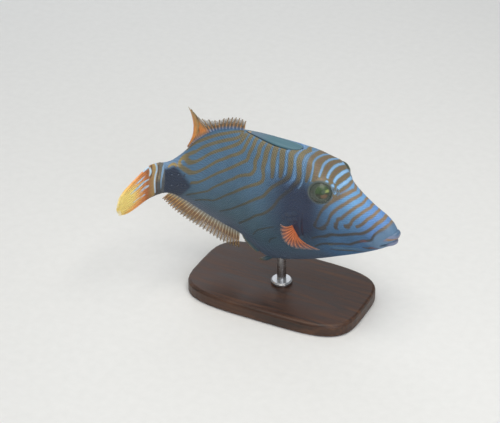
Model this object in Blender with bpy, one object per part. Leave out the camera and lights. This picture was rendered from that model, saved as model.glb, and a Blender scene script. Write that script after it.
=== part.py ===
"""Orange-lined triggerfish, life size, held by a plain display stand.

The body is worked out in its own coordinates, in millimetres: s runs back from the tip of the
snout along the backbone, y to the fish's left and z up. The backbone is straight as far as the
tail stalk and swings to the fish's right from there. place() lays these coordinates into the
model: +X towards the snout, +Z up, the origin in the middle of the base's underside.
"""

import bpy
import numpy as np

MM = 0.001
GAP = 0.3

# Lengths along the backbone
STANDARD_LENGTH = 190.0
HEAD_END = 67.0
TRUNK_END = 150.0
TAIL_TIP = 238.0

# The back and the belly seen from the side: (s, height above the backbone)
BACK = (
    (2.5, 4.2), (5, 7.8), (10, 12), (20, 17.3), (40, 29.5), (55, 40.3), (66, 45.8), (80, 48.3),
    (95, 49.5), (108, 49.8), (120, 49.2), (135, 47), (150, 41), (162, 31), (172, 19), (180, 13), (190, 13),
)
BELLY = (
    (2.5, -5.5), (5, -9.3), (10, -13.3), (20, -19.8), (45, -33), (70, -44.5), (88, -50.5), (98, -53),
    (106, -51), (114, -45.5), (123, -40.5), (140, -35.5), (158, -28), (170, -21), (180, -15.5),
    (190, -15),
)
# Half the width, and the height at which each section is widest
HALF_WIDTH = (
    (2.5, 4), (5, 5.8), (10, 7.8), (20, 9.5), (40, 13), (56, 18), (75, 18.5), (95, 17), (120, 14),
    (145, 10), (168, 6), (180, 4.6), (190, 3.4),
)
WIDEST_AT = ((2.5, -1), (20, 0), (50, 6), (70, 5), (100, 0), (190, -1))
# Exponents of the rounding: 2 is an ellipse, more is squarer, less is sharper
ROUND_ABOVE = (
    (2.5, 2), (20, 2.1), (40, 2.6), (56, 3.3), (66, 3), (80, 2.6), (110, 2.2), (150, 1.9), (190, 2),
)
ROUND_BELOW = ((2.5, 2), (30, 1.9), (60, 1.7), (100, 1.6), (150, 1.8), (190, 2))

# How far the backbone has turned to the fish's right, in degrees, and how far the snout tips down
SWING = ((128, 0), (150, 9), (170, 26), (182, 42), (194, 66), (206, 80), (240, 84))
NOSE_DOWN = np.radians(2.7)

# The stand: the backbone's height over the floor, and where the rod comes up
ROD_AT = 92.0
BACKBONE_HEIGHT = 82.0
ROD_RADIUS = 3.5
BASE_LENGTH = 136.0
BASE_WIDTH = 82.0
BASE_HEIGHT = 10.0
BASE_EDGE = 2.0

# Eyes: lens-shaped balls in sockets, each in a low dome with a raised rim
EYE_S = 55.8
EYE_Z = 27.5
EYE_Y = 15.9
EYE_RADIUS = 8.2
EYE_DEPTH = 6.9
BROW_RISE = 4.4
BROW_SPREAD = 7.6
RIM_RADIUS = 8.1
RIM_THICKNESS = 1.1
EYE_FACES = (-0.14, 0.95, 0.27)

# Nostrils: two small raised rings on each side, in front of the eye
NOSTRILS = ((45.0, 29.0), (47.6, 30.2))
NOSTRIL_RADIUS = 0.9
NOSTRIL_RIM = 0.4

# Lips: each a fleshy roll from one corner of the mouth round the front to the other
LIP_TURN = np.radians(100)
UPPER_LIP = {
    "front": 1.8, "reach": 8.5, "half_width": 6.0, "height": 0.4, "drop": 4.0, "out": 2.2, "up": 3.0,
}
LOWER_LIP = {
    "front": 2.6, "reach": 8.0, "half_width": 5.3, "height": -5.6, "drop": 3.0, "out": 1.9, "up": 2.0,
}

# Gill opening: a short upright slit where the head ends
GILL_TOP = 7.0
GILL_BOTTOM = -15.0
GILL_BOW = 1.6

# Bony plates behind the gill opening: (s, height above the backbone, radius)
SCUTES = ((74.0, 4.5, 2.4), (78.4, 2.0, 2.6), (73.2, -0.6, 2.1), (77.4, -3.0, 2.5), (82.0, -1.8, 2.0))

# Forward-curving spines on the tail stalk, in two rows of three on each side
STALK_SPINES_S = (169.5, 175.0, 180.5)
STALK_SPINES_Z = (3.2, -5.6)
STALK_SPINE_LENGTH = 3.4
STALK_SPINE_RADIUS = 1.35

# First dorsal fin: three spines folded back into a groove along the back, given by (s, half its
# width), and how fast the back falls away from its middle line: the drop over the width squared
GROOVE = ((78, 2.8), (83, 5.2), (90, 6.5), (98, 6.5), (107, 5.3), (116, 3.1), (122, 1.3))
BACK_ROUNDING = 0.04

# Soft dorsal fin: for each place along its base, from 0 in front to 1 behind, the ray's length,
# its slant back from upright and its slant towards the fish's right, in degrees
DORSAL_RAYS = 26
DORSAL_BASE = (125.0, 167.5)
DORSAL_LENGTH = (
    (0, 8), (0.17, 10.7), (0.34, 11.3), (0.5, 9.6), (0.63, 13), (0.75, 18.2), (0.85, 30), (0.93, 27),
    (1, 16.5),
)
DORSAL_BACK = (
    (0, -8), (0.17, -10), (0.34, -7), (0.5, 7), (0.63, 19), (0.75, 11), (0.85, 12), (0.93, -8), (1, -26),
)
DORSAL_ASIDE = (
    (0, -2), (0.17, 2), (0.34, 8), (0.5, 13), (0.63, 13.5), (0.75, 9), (0.85, 5), (0.93, 11), (1, 6),
)

# Anal fin, the same way
ANAL_RAYS = 23
ANAL_BASE = (124.5, 181.0)
ANAL_LENGTH = ((0, 15.5), (0.1, 18.5), (0.5, 17.5), (0.8, 12.5), (1, 7))
ANAL_BACK = ((0, 2), (0.2, 10), (0.5, 28), (1, 52))
ANAL_ASIDE = ((0, -6), (0.5, -12), (1, 0))

# Tail fin, folded narrow: its upper and lower edges, and how deep the notches between rays are
TAIL_RAYS = 12
TAIL_START = 190.5
TAIL_TOP = ((190, 12.6), (198, 12.9), (208, 10.1), (220, 7.6), (230, 5.2), (238, 0.5))
TAIL_BOTTOM = ((190, -14.6), (200, -15.4), (212, -16.5), (225, -15), (238, -9))

# Pectoral fins, thrown forward and down: how far each ray reaches forwards, outwards and up,
# from 0 at the leading ray, which is rooted lowest, to 1 at the last
PECTORAL_RAYS = 14
PECTORAL_ROOT_S = (71.2, 75.5)
PECTORAL_ROOT_Z = (-15.8, -7.0)
PECTORAL_FORWARD = ((0, 22), (0.12, 12), (0.3, 3.4), (0.5, -1.2), (0.75, -3.6), (1, -4))
PECTORAL_OUT = ((0, 9), (0.25, 14.5), (0.5, 15), (0.75, 14), (1, 12))
PECTORAL_UP = ((0, 1), (0.12, -1.3), (0.3, -1.9), (0.5, -0.8), (0.75, 2.7), (1, 7))

# Pelvic spine and the flap of skin behind it
PELVIC_PATH = ((95.5, -49), (99.5, -53), (103.5, -56), (107.5, -57.5))
FLAP_BASE = (107.0, 121.0)
FLAP_RAYS = 7
FLAP_LENGTH = ((0, 4.5), (0.3, 5.5), (0.7, 4.5), (1, 2))
FLAP_BACK = ((0, 55), (1, 65))

# Thickness of the fins
FIN_ROOT = 2.0
FIN_MEMBRANE = 0.55
FIN_RAY = 1.1

RINGS_ROUND = 28


def spline(knots, at):
    """Smooth curve through (position, value) knots, with the slope at each knot from its neighbours."""
    knots = np.asarray(knots, float)
    x = knots[:, 0]
    y = knots[:, 1]
    step = np.diff(x)
    rise = np.diff(y) / step
    slope = np.empty_like(y)
    slope[1:-1] = (rise[:-1] * step[1:] + rise[1:] * step[:-1]) / (step[1:] + step[:-1])
    slope[0] = 1.5 * rise[0] - 0.5 * slope[1]
    slope[-1] = 1.5 * rise[-1] - 0.5 * slope[-2]
    at = np.clip(np.asarray(at, float), x[0], x[-1])
    i = np.clip(np.searchsorted(x, at, side="right") - 1, 0, len(x) - 2)
    t = (at - x[i]) / step[i]
    start = (1 + 2 * t) * (1 - t) ** 2 * y[i] + t * (1 - t) ** 2 * step[i] * slope[i]
    end = t * t * (3 - 2 * t) * y[i + 1] + t * t * (t - 1) * step[i] * slope[i + 1]
    return start + end


def ease(t):
    """0 to 1 with level ends."""
    t = np.clip(t, 0, 1)
    return t * t * (3 - 2 * t)


BACKBONE_S = np.linspace(0, 260, 1041)
BACKBONE_TURN = np.radians(spline(SWING, BACKBONE_S))


def along_backbone(rate):
    """Length covered from the snout by something that changes at this rate along the backbone."""
    middle = 0.5 * (rate[1:] + rate[:-1]) * np.diff(BACKBONE_S)
    return np.concatenate([[0], np.cumsum(middle)])


BACKBONE_X = -along_backbone(np.cos(BACKBONE_TURN))
BACKBONE_Y = -along_backbone(np.sin(BACKBONE_TURN))


def place(s, y, z):
    """Points of the model, in millimetres, for body coordinates s, y and z."""
    s, y, z = np.broadcast_arrays(np.asarray(s, float), y, z)
    turn = np.interp(s, BACKBONE_S, BACKBONE_TURN)
    x = np.interp(s, BACKBONE_S, BACKBONE_X) - np.sin(turn) * y + ROD_AT
    side = np.interp(s, BACKBONE_S, BACKBONE_Y) + np.cos(turn) * y
    tipped_x = x * np.cos(NOSE_DOWN) + z * np.sin(NOSE_DOWN)
    tipped_z = z * np.cos(NOSE_DOWN) - x * np.sin(NOSE_DOWN)
    return np.stack([tipped_x, side, tipped_z + BACKBONE_HEIGHT], axis=-1)


def section(s, angle, grow=0.0):
    """y and z of the skin at s; the angle is -90 degrees at the belly and 90 at the back, on the left."""
    widest = spline(WIDEST_AT, s)
    rising = np.sin(angle) >= 0
    power = 2 / np.where(rising, spline(ROUND_ABOVE, s), spline(ROUND_BELOW, s))
    height = np.where(rising, spline(BACK, s) - widest, widest - spline(BELLY, s)) + grow
    y = (spline(HALF_WIDTH, s) + grow) * np.abs(np.cos(angle)) ** power
    z = widest + height * np.sign(np.sin(angle)) * np.abs(np.sin(angle)) ** power
    near_eye = (s - EYE_S) ** 2 + (z - EYE_Z) ** 2 + (y - EYE_Y) ** 2
    brow = BROW_RISE * np.exp(-near_eye / (2 * BROW_SPREAD**2))
    return y + 0.75 * brow, z + 0.66 * brow


def body_rings(stations, grow=0.0, count=RINGS_ROUND):
    """Rings of points round the body, from the belly up the left side and down the right."""
    s, turn = np.meshgrid(stations, np.arange(count) * 2 * np.pi / count - np.pi / 2, indexing="ij")
    left = turn <= np.pi / 2 + 1e-9
    angle = np.where(left, turn, np.pi - turn)
    y, z = section(s, angle, grow)
    return place(s, np.where(left, y, -y), z)


def new_object(name, points, faces):
    """Object whose mesh has these points, in millimetres, and faces."""
    mesh = bpy.data.meshes.new(name)
    mesh.from_pydata((np.asarray(points).reshape(-1, 3) * MM).tolist(), [], faces)
    mesh.update()
    obj = bpy.data.objects.new(name, mesh)
    bpy.context.scene.collection.objects.link(obj)
    return obj


def loft(name, rings):
    """Closed solid through rings of equal size, with flat ends."""
    rings = np.asarray(rings)
    rows, count = rings.shape[:2]
    faces = []
    for i in range(rows - 1):
        for j in range(count):
            k = (j + 1) % count
            faces.append((i * count + j, i * count + k, (i + 1) * count + k))
            faces.append((i * count + j, (i + 1) * count + k, (i + 1) * count + j))
    faces.append(tuple(range(count))[::-1])
    faces.append(tuple(range((rows - 1) * count, rows * count)))
    return facing_out(new_object(name, rings, faces))


def signed_volume(mesh):
    """Volume of a closed mesh, negative where its faces point in."""
    mesh.calc_loop_triangles()
    points = np.empty(len(mesh.vertices) * 3)
    mesh.vertices.foreach_get("co", points)
    corners = np.empty(len(mesh.loop_triangles) * 3, int)
    mesh.loop_triangles.foreach_get("vertices", corners)
    a, b, c = points.reshape(-1, 3)[corners.reshape(-1, 3)].transpose(1, 0, 2)
    return float(np.einsum("ij,ij->i", a, np.cross(b, c)).sum() / 6)


def facing_out(obj):
    """Turns the faces round where the closed mesh is inside out."""
    if signed_volume(obj.data) < 0:
        obj.data.flip_normals()
    return obj


def smooth_unit(vectors):
    """Vectors scaled to length one."""
    return vectors / np.linalg.norm(vectors, axis=-1, keepdims=True)


def vane(name, sheet, thickness):
    """Closed thin solid on both sides of a sheet of points, split into triangles alike on both faces."""
    along = np.gradient(sheet, axis=0)
    across = np.gradient(sheet, axis=1)
    half = smooth_unit(np.cross(along, across)) * (np.asarray(thickness) / 2)[..., None]
    rows, cols = sheet.shape[:2]
    index = np.arange(rows * cols).reshape(rows, cols)
    other = index + rows * cols
    faces = []
    for i in range(rows - 1):
        for j in range(cols - 1):
            a, b, c, d = index[i, j], index[i + 1, j], index[i + 1, j + 1], index[i, j + 1]
            faces += [(a, b, c), (a, c, d)]
            a, b, c, d = other[i, j], other[i + 1, j], other[i + 1, j + 1], other[i, j + 1]
            faces += [(a, c, b), (a, d, c)]
    rim = [*index[:, 0], *index[-1, 1:], *index[-2::-1, -1], *index[0, -2:0:-1]]
    for here, following in zip(rim, rim[1:] + rim[:1]):
        faces.append((following, here, here + rows * cols))
        faces.append((following, here + rows * cols, following + rows * cols))
    faces = [tuple(int(v) for v in face) for face in faces]
    return facing_out(new_object(name, np.concatenate([sheet + half, sheet - half]), faces))


def apply_modifiers(obj):
    """Makes the object's mesh what its modifiers give."""
    graph = bpy.context.evaluated_depsgraph_get()
    mesh = bpy.data.meshes.new_from_object(obj.evaluated_get(graph))
    obj.modifiers.clear()
    obj.data = mesh


def keep_largest(obj):
    """Keeps the one closed surface of the mesh that holds the most."""
    mesh = obj.data
    group = np.arange(len(mesh.vertices))
    ends = np.empty(len(mesh.edges) * 2, int)
    mesh.edges.foreach_get("vertices", ends)
    ends = ends.reshape(-1, 2)
    changed = True
    while changed:
        lowest = group[ends].min(axis=1)
        before = group.copy()
        np.minimum.at(group, ends[:, 0], lowest)
        np.minimum.at(group, ends[:, 1], lowest)
        group = group[group]
        changed = bool((group != before).any())
    names = np.unique(group)
    if len(names) == 1:
        return
    points = np.empty(len(mesh.vertices) * 3)
    mesh.vertices.foreach_get("co", points)
    points = points.reshape(-1, 3)
    best = max(names, key=lambda n: np.prod(np.ptp(points[group == n], axis=0)))
    kept = np.flatnonzero(group == best)
    renumber = -np.ones(len(group), int)
    renumber[kept] = np.arange(len(kept))
    whole = [p for p in mesh.polygons if group[p.vertices[0]] == best]
    faces = [tuple(int(renumber[v]) for v in p.vertices) for p in whole]
    fresh = bpy.data.meshes.new(mesh.name)
    fresh.from_pydata(points[kept].tolist(), [], faces)
    obj.data = fresh


def combine(obj, others, operation, solver="EXACT"):
    """Joins the others to the object, or cuts them out of it, and removes them."""
    helpers = bpy.data.collections.new("helpers")
    bpy.context.scene.collection.children.link(helpers)
    for other in others:
        helpers.objects.link(other)
    boolean = obj.modifiers.new(operation.title(), "BOOLEAN")
    boolean.operation = operation
    boolean.operand_type = "COLLECTION"
    boolean.collection = helpers
    boolean.solver = solver
    apply_modifiers(obj)
    for other in others:
        bpy.data.objects.remove(other)
    bpy.data.collections.remove(helpers)
    keep_largest(obj)
    return obj


def clear_of_body(obj, start, end):
    """Cuts the object back to the usual gap from the body between two stations."""
    stations = np.linspace(start, end, max(4, int((end - start) / 4)))
    return combine(obj, [loft("body", body_rings(stations, GAP))], "DIFFERENCE")


def skin_y(s, z):
    """Half the width of the body at s and height z, without the brow."""
    widest = spline(WIDEST_AT, s)
    above = z >= widest
    power = np.where(above, spline(ROUND_ABOVE, s), spline(ROUND_BELOW, s))
    height = np.where(above, spline(BACK, s) - widest, widest - spline(BELLY, s))
    share = np.clip(np.abs(z - widest) / height, 0, 1)
    return spline(HALF_WIDTH, s) * (1 - share**power) ** (1 / power)


def facing(side, out=EYE_FACES):
    """Three unit directions in body coordinates: out of the flank, along it and up it."""
    out = smooth_unit(np.array([out[0], side * out[1], out[2]]))
    along = smooth_unit(np.array([1.0, 0, 0]) - out[0] * out)
    return out, along, np.cross(out, along) * side * -1


def turned(centre, axes, out, along, up):
    """Model points for distances along three directions from a centre in body coordinates."""
    across = along[..., None] * axes[1] + up[..., None] * axes[2]
    points = np.asarray(centre) + out[..., None] * axes[0] + across
    return place(points[..., 0], points[..., 1], points[..., 2])


def ellipsoid(name, centre, axes, radius, depth, count=20):
    """Closed round lens of a radius across and a depth along the first direction."""
    down, turn = np.meshgrid(
        np.linspace(0.05, np.pi - 0.05, count // 2), np.arange(count) * 2 * np.pi / count, indexing="ij"
    )
    across = radius * np.sin(down)
    points = turned(centre, axes, depth * np.cos(down), across * np.cos(turn), across * np.sin(turn))
    return loft(name, points)


def ring(name, centre, axes, radius, thickness, count=20, sides=6):
    """Closed ring round the first direction."""
    turn, round_it = np.meshgrid(
        np.arange(count) * 2 * np.pi / count, np.arange(sides) * 2 * np.pi / sides, indexing="ij"
    )
    reach = radius + thickness * np.cos(round_it)
    points = turned(centre, axes, thickness * np.sin(round_it), reach * np.cos(turn), reach * np.sin(turn))
    faces = []
    for i in range(count):
        for j in range(sides):
            k, m = (i + 1) % count, (j + 1) % sides
            faces.append((i * sides + j, i * sides + m, k * sides + m))
            faces.append((i * sides + j, k * sides + m, k * sides + j))
    return facing_out(new_object(name, points, faces))


def tube(name, path, radius_out, radius_up, sides=10):
    """Closed tube along a path of body coordinates, its section an ellipse across the path."""
    path = np.asarray(path)
    ahead = smooth_unit(np.gradient(path, axis=0))
    out = smooth_unit(np.cross(ahead, [0, 0, 1.0]))
    up = np.cross(out, ahead)
    turn = np.arange(sides) * 2 * np.pi / sides
    wide = np.asarray(radius_out)[:, None, None] * np.cos(turn)[None, :, None] * out[:, None, :]
    tall = np.asarray(radius_up)[:, None, None] * np.sin(turn)[None, :, None] * up[:, None, :]
    points = path[:, None, :] + wide + tall
    return loft(name, place(points[..., 0], points[..., 1], points[..., 2]))


def finish(obj, colour, roughness, metallic=0.0):
    """Gives the object its own material and smooth shading."""
    material = bpy.data.materials.new(obj.name)
    material.use_nodes = True
    shader = material.node_tree.nodes["Principled BSDF"]
    shader.inputs["Base Color"].default_value = (*colour, 1)
    shader.inputs["Roughness"].default_value = roughness
    shader.inputs["Metallic"].default_value = metallic
    obj.data.materials.clear()
    obj.data.materials.append(material)
    obj.data.shade_smooth()
    obj.data.set_sharp_from_angle(angle=np.radians(40))
    return obj


def eye(name, side, grow=0.0):
    """One eye, a lens in its socket."""
    centre = (EYE_S, side * EYE_Y, EYE_Z)
    return ellipsoid(name, centre, facing(side), EYE_RADIUS + grow, EYE_DEPTH + grow)


def orbit_rim(side):
    """Raised rim of skin round one eye."""
    out, along, up = facing(side)
    centre = np.array([EYE_S, side * EYE_Y, EYE_Z]) + out * 2.4
    return ring("rim", centre, (out, along, up), RIM_RADIUS, RIM_THICKNESS)


def nostrils(side):
    """The raised rings and the pits in them, on one side."""
    rims, pits = [], []
    for s, z in NOSTRILS:
        centre = (s, side * (skin_y(s, z) + 0.1), z)
        axes = facing(side, (-0.2, 0.8, 0.55))
        rims.append(ring("nostril", centre, axes, NOSTRIL_RADIUS, NOSTRIL_RIM, count=10, sides=6))
        pits.append(ellipsoid("pit", centre, axes, 0.7 * NOSTRIL_RADIUS, 1.2, count=8))
    return rims, pits


def lip(name, sizes, grow=0.0):
    """Roll of flesh round the front of the mouth, thinning to its corners."""
    turn = np.linspace(-LIP_TURN, LIP_TURN, 15)
    away = 1 - np.cos(turn)
    path = np.stack([
        sizes["front"] + sizes["reach"] * away,
        sizes["half_width"] * np.sin(turn),
        sizes["height"] - sizes["drop"] * away,
    ], axis=1)
    taper = 1 - 0.5 * ease(np.abs(turn) / LIP_TURN)
    return tube(name, path, sizes["out"] * taper + grow, sizes["up"] * taper + grow, sides=10)


def gill_slit(side):
    """Thin upright cutter for the gill opening."""
    z, turn = np.meshgrid(np.linspace(GILL_BOTTOM, GILL_TOP, 8), np.arange(6) * np.pi / 3, indexing="ij")
    along = (z - GILL_BOTTOM) / (GILL_TOP - GILL_BOTTOM)
    taper = 0.25 + 0.75 * np.sin(np.pi * along)
    s = HEAD_END + GILL_BOW * np.sin(np.pi * along) + 0.8 * taper * np.cos(turn)
    y = skin_y(HEAD_END, z) + 1.6 * taper * np.sin(turn)
    return loft("slit", place(s, side * y, z))


def scute(side, s, z, radius):
    """One low bony plate on the flank."""
    centre = (s, side * (skin_y(s, z) - 0.2), z)
    return ellipsoid("scute", centre, facing(side, (0, 1, 0.02)), radius, 0.9, count=8)


def stalk_spine(side, s, z):
    """One curved spine on the tail stalk, its root sunk in the flesh and its tip bent forwards."""
    up, turn = np.meshgrid(np.linspace(-0.3, 1, 5), np.arange(6) * np.pi / 3, indexing="ij")
    radius = STALK_SPINE_RADIUS * np.clip(1 - up, 0.06, 1)
    bend = 0.7 * STALK_SPINE_LENGTH * np.clip(up, 0, 1) ** 2
    y = skin_y(s, z) + STALK_SPINE_LENGTH * up * 0.85
    return loft("spine", place(s - bend + radius * np.cos(turn), side * y, z + radius * np.sin(turn)))


def make_head():
    """Head with the orbital rims, nostrils, eye sockets, gill opening and the seat of the lips."""
    snout = [2.5, 3.5, 5, 7.5, 10, 14]
    stations = np.concatenate([snout, np.linspace(18, 42, 7), np.linspace(45, HEAD_END, 9)])
    head = loft("head", body_rings(stations))
    raised, sunk = [], []
    for side in (1, -1):
        rims, pits = nostrils(side)
        raised += [orbit_rim(side), *rims]
        sunk += [eye("socket", side, GAP), gill_slit(side), *pits]
    combine(head, raised, "UNION")
    combine(head, sunk, "DIFFERENCE")
    combine(head, [lip("lip", UPPER_LIP, GAP)], "DIFFERENCE")
    combine(head, [lip("lip", LOWER_LIP, GAP)], "DIFFERENCE")
    finish(head, (0.10, 0.30, 0.60), 0.45)


def make_trunk():
    """Trunk with the plates behind the gill opening and the groove for the first dorsal fin."""
    stations = np.concatenate([np.linspace(HEAD_END + GAP, 125, 13), np.linspace(129, TRUNK_END, 6)])
    trunk = loft("trunk", body_rings(stations))
    plates = [scute(side, *sizes) for side in (1, -1) for sizes in SCUTES]
    combine(trunk, plates, "UNION")
    cutters = [gill_slit(1), gill_slit(-1), folded_fin("groove", GAP)]
    combine(trunk, cutters, "DIFFERENCE")
    finish(trunk, (0.08, 0.20, 0.30), 0.5)


def make_stalk():
    """Tail stalk with its spines."""
    stalk = loft("peduncle", body_rings(np.linspace(TRUNK_END + GAP, STANDARD_LENGTH, 11)))
    spines = [stalk_spine(side, s, z) for side in (1, -1) for s in STALK_SPINES_S for z in STALK_SPINES_Z]
    combine(stalk, spines, "UNION")
    finish(stalk, (0.04, 0.07, 0.12), 0.5)


def folded_fin(name, grow=0.0):
    """The folded first dorsal fin, or with grow the groove that takes it, which is open above."""
    s = np.linspace(GROOVE[0][0] - grow, GROOVE[-1][0] + grow, 13)
    half = spline(GROOVE, s) - GAP + grow
    crest = spline(BACK, s)
    across = np.array([-1, -0.62, -0.3, 0, 0.3, 0.62, 1, 1, 0.5, 0, -0.5, -1])
    lift = np.array([-0.7, -0.4, -0.2, 0.2, -0.2, -0.4, -0.7, -1.5, -2.9, -3.1, -2.9, -1.5])
    lift[7:] -= grow
    if grow:
        lift[:7] = 6.0
    y = across * half[:, None]
    return loft(name, place(s[:, None], y, crest[:, None] + lift - BACK_ROUNDING * y**2))


def columns(rays):
    """Places along a fin's base, from 0 to 1, and how far each is raised: 1 on a ray, 0 between rays."""
    place_on_base = np.linspace(0, 1, 2 * rays + 1)
    return place_on_base, (np.arange(2 * rays + 1) % 2).astype(float)


def fin_thickness(ridge, out, root=FIN_ROOT, ray=FIN_RAY):
    """Thickness over the fin: fleshy at the root, then rays standing from a thin membrane."""
    free = FIN_MEMBRANE + (ray - FIN_MEMBRANE) * ridge[:, None] * (1 - 0.35 * out[None, :])
    flesh = (root - free) * (1 - ease(out / 0.22))[None, :]
    return free + flesh


def median_fin(name, line, upwards, rays, base, length, back, aside, rows=6, notch=0.16):
    """Fin on the middle line of the back or belly, each ray with its own length and slant."""
    u, ridge = columns(rays)
    out = np.linspace(0, 1, rows)
    s = base[0] + (base[1] - base[0]) * u
    slope = (spline(line, s + 0.5) - spline(line, s - 0.5)) * upwards
    square = smooth_unit(np.stack([-slope, 0 * s, 1 + 0 * s], axis=1))
    lean_back = np.tan(np.radians(spline(back, u)))
    lean_aside = np.tan(np.radians(spline(aside, u)))
    slant = smooth_unit(np.stack([lean_back, -lean_aside, 1 + 0 * u], axis=1))
    reach = spline(length, u) * (1 - notch * (1 - ridge))
    bent = ease(out / 0.12)[None, :, None]
    heading = smooth_unit(square[:, None, :] * (1 - bent) + slant[:, None, :] * bent)
    step = 0.5 * (heading[:, 1:] + heading[:, :-1]) * (reach / (rows - 1))[:, None, None]
    path = np.concatenate([np.zeros((len(s), 1, 3)), np.cumsum(step, axis=1)], axis=1)
    root = spline(line, s) + GAP * upwards
    sheet = place(s[:, None] + path[..., 0], path[..., 1], root[:, None] + upwards * path[..., 2])
    return vane(name, sheet, fin_thickness(ridge, out))


def tail_fin():
    """Tail fin, folded narrow along its rays, on the end of the stalk."""
    u, ridge = columns(TAIL_RAYS)
    out = np.linspace(0, 1, 10)
    tip = TAIL_TIP - 3 * np.abs(2 * u - 1) ** 2 - 2.5 * (1 - ridge)
    s = TAIL_START + (tip - TAIL_START)[:, None] * out[None, :]
    low = spline(TAIL_BOTTOM, s)
    z = low + (spline(TAIL_TOP, s) - low) * u[:, None]
    pleat = 0.5 * (2 * ridge[:, None] - 1) * ease(out / 0.4)[None, :]
    wide = 2 * spline(HALF_WIDTH, STANDARD_LENGTH) * np.sqrt(np.clip(1 - (2 * u - 1) ** 2, 0.05, 1))
    flesh = wide[:, None] * (1 - ease(out / 0.35))[None, :]
    thickness = np.maximum(flesh, fin_thickness(ridge, out, ray=1.3))
    return vane("caudal_fin", place(s, pleat, z), thickness)


def pectoral_fin(name, side):
    """Fan on the flank behind the gill opening."""
    u, ridge = columns(PECTORAL_RAYS)
    out = np.linspace(0, 1, 7)
    root_s = PECTORAL_ROOT_S[0] + (PECTORAL_ROOT_S[1] - PECTORAL_ROOT_S[0]) * u
    root_z = PECTORAL_ROOT_Z[0] + (PECTORAL_ROOT_Z[1] - PECTORAL_ROOT_Z[0]) * u
    reach = (1 - 0.14 * (1 - ridge))[:, None]
    bend = out[None, :] ** 1.35 * reach
    outwards = (1 - (1 - out[None, :]) ** 1.5) * reach
    s = root_s[:, None] - spline(PECTORAL_FORWARD, u)[:, None] * bend
    y = skin_y(root_s, root_z)[:, None] + GAP + spline(PECTORAL_OUT, u)[:, None] * outwards
    z = root_z[:, None] + spline(PECTORAL_UP, u)[:, None] * bend
    return vane(name, place(s, side * y, z), fin_thickness(ridge, out, root=1.6, ray=1.0))


def make_fins():
    """All the fins, each with the colour of its kind."""
    orange = (0.75, 0.25, 0.05)
    fold = finish(folded_fin("first_dorsal_fin"), (0.12, 0.26, 0.28), 0.5)
    fold.data.shade_smooth()
    dorsal = median_fin(
        "soft_dorsal_fin", BACK, 1, DORSAL_RAYS, DORSAL_BASE, DORSAL_LENGTH, DORSAL_BACK, DORSAL_ASIDE
    )
    anal = median_fin("anal_fin", BELLY, -1, ANAL_RAYS, ANAL_BASE, ANAL_LENGTH, ANAL_BACK, ANAL_ASIDE)
    flap = median_fin(
        "ventral_flap", BELLY, -1, FLAP_RAYS, FLAP_BASE, FLAP_LENGTH, FLAP_BACK, ((0, 0), (1, 0)), rows=4
    )
    left = pectoral_fin("pectoral_fin_left", 1)
    right = pectoral_fin("pectoral_fin_right", -1)
    for fin in (dorsal, anal, tail_fin(), left, right):
        finish(fin, orange, 0.4)
    finish(flap, (0.10, 0.20, 0.25), 0.5)


def make_pelvic_spine():
    """Short rough spine at the lowest point of the belly."""
    path = [(s, 0, z) for s, z in PELVIC_PATH]
    thin = np.array([1.0, 1.0, 0.8, 0.35])
    spine = tube("pelvic_spine", path, 2.2 * thin, 1.9 * thin, sides=8)
    clear_of_body(spine, 88, 112)
    finish(spine, (0.20, 0.22, 0.24), 0.6)


def turned_solid(name, profile, count=24):
    """Closed solid of (radius, height) points, from the bottom up, turned round the upright axis."""
    turn = np.arange(count) * 2 * np.pi / count
    rings = [[(r * np.cos(a), r * np.sin(a), z) for a in turn] for r, z in profile]
    return loft(name, rings)


def make_stand():
    """Flat base with rounded corners, and one rod with a foot ring up to the belly."""
    turn = np.arange(48) * 2 * np.pi / 48
    corner_x = np.sign(np.cos(turn)) * np.abs(np.cos(turn)) ** 0.5
    corner_y = np.sign(np.sin(turn)) * np.abs(np.sin(turn)) ** 0.5
    rings = []
    top = BASE_HEIGHT
    edge = ((0, 1.0), (1.0, 0), (top - BASE_EDGE, 0), (top - 0.6, 0.6), (top, BASE_EDGE))
    for z, inset in edge:
        x = (BASE_LENGTH / 2 - inset) * corner_x
        y = (BASE_WIDTH / 2 - inset) * corner_y
        rings.append(np.stack([x, y, z + 0 * x], axis=1))
    finish(loft("stand_base", rings), (0.08, 0.05, 0.03), 0.4)
    foot = BASE_HEIGHT + GAP
    ring_top = foot + 2.6
    inside_body = BACKBONE_HEIGHT - 30
    profile = (
        (8, foot), (8, foot + 1.6), (7, ring_top), (ROD_RADIUS, ring_top), (ROD_RADIUS, inside_body),
    )
    rod = turned_solid("stand_rod", profile)
    clear_of_body(rod, 70, 112)
    finish(rod, (0.6, 0.6, 0.6), 0.3, 1.0)


def build():
    """The whole model in an empty scene."""
    for obj in list(bpy.data.objects):
        bpy.data.objects.remove(obj)
    make_head()
    for name, side in (("eye_left", 1), ("eye_right", -1)):
        finish(eye(name, side), (0.15, 0.22, 0.06), 0.15)
    finish(lip("upper_lip", UPPER_LIP), (0.30, 0.32, 0.42), 0.45)
    finish(lip("lower_lip", LOWER_LIP), (0.30, 0.32, 0.42), 0.45)
    make_trunk()
    make_stalk()
    make_fins()
    make_pelvic_spine()
    make_stand()


build()
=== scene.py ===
import bpy
import numpy as np
from mathutils import Matrix


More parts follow.
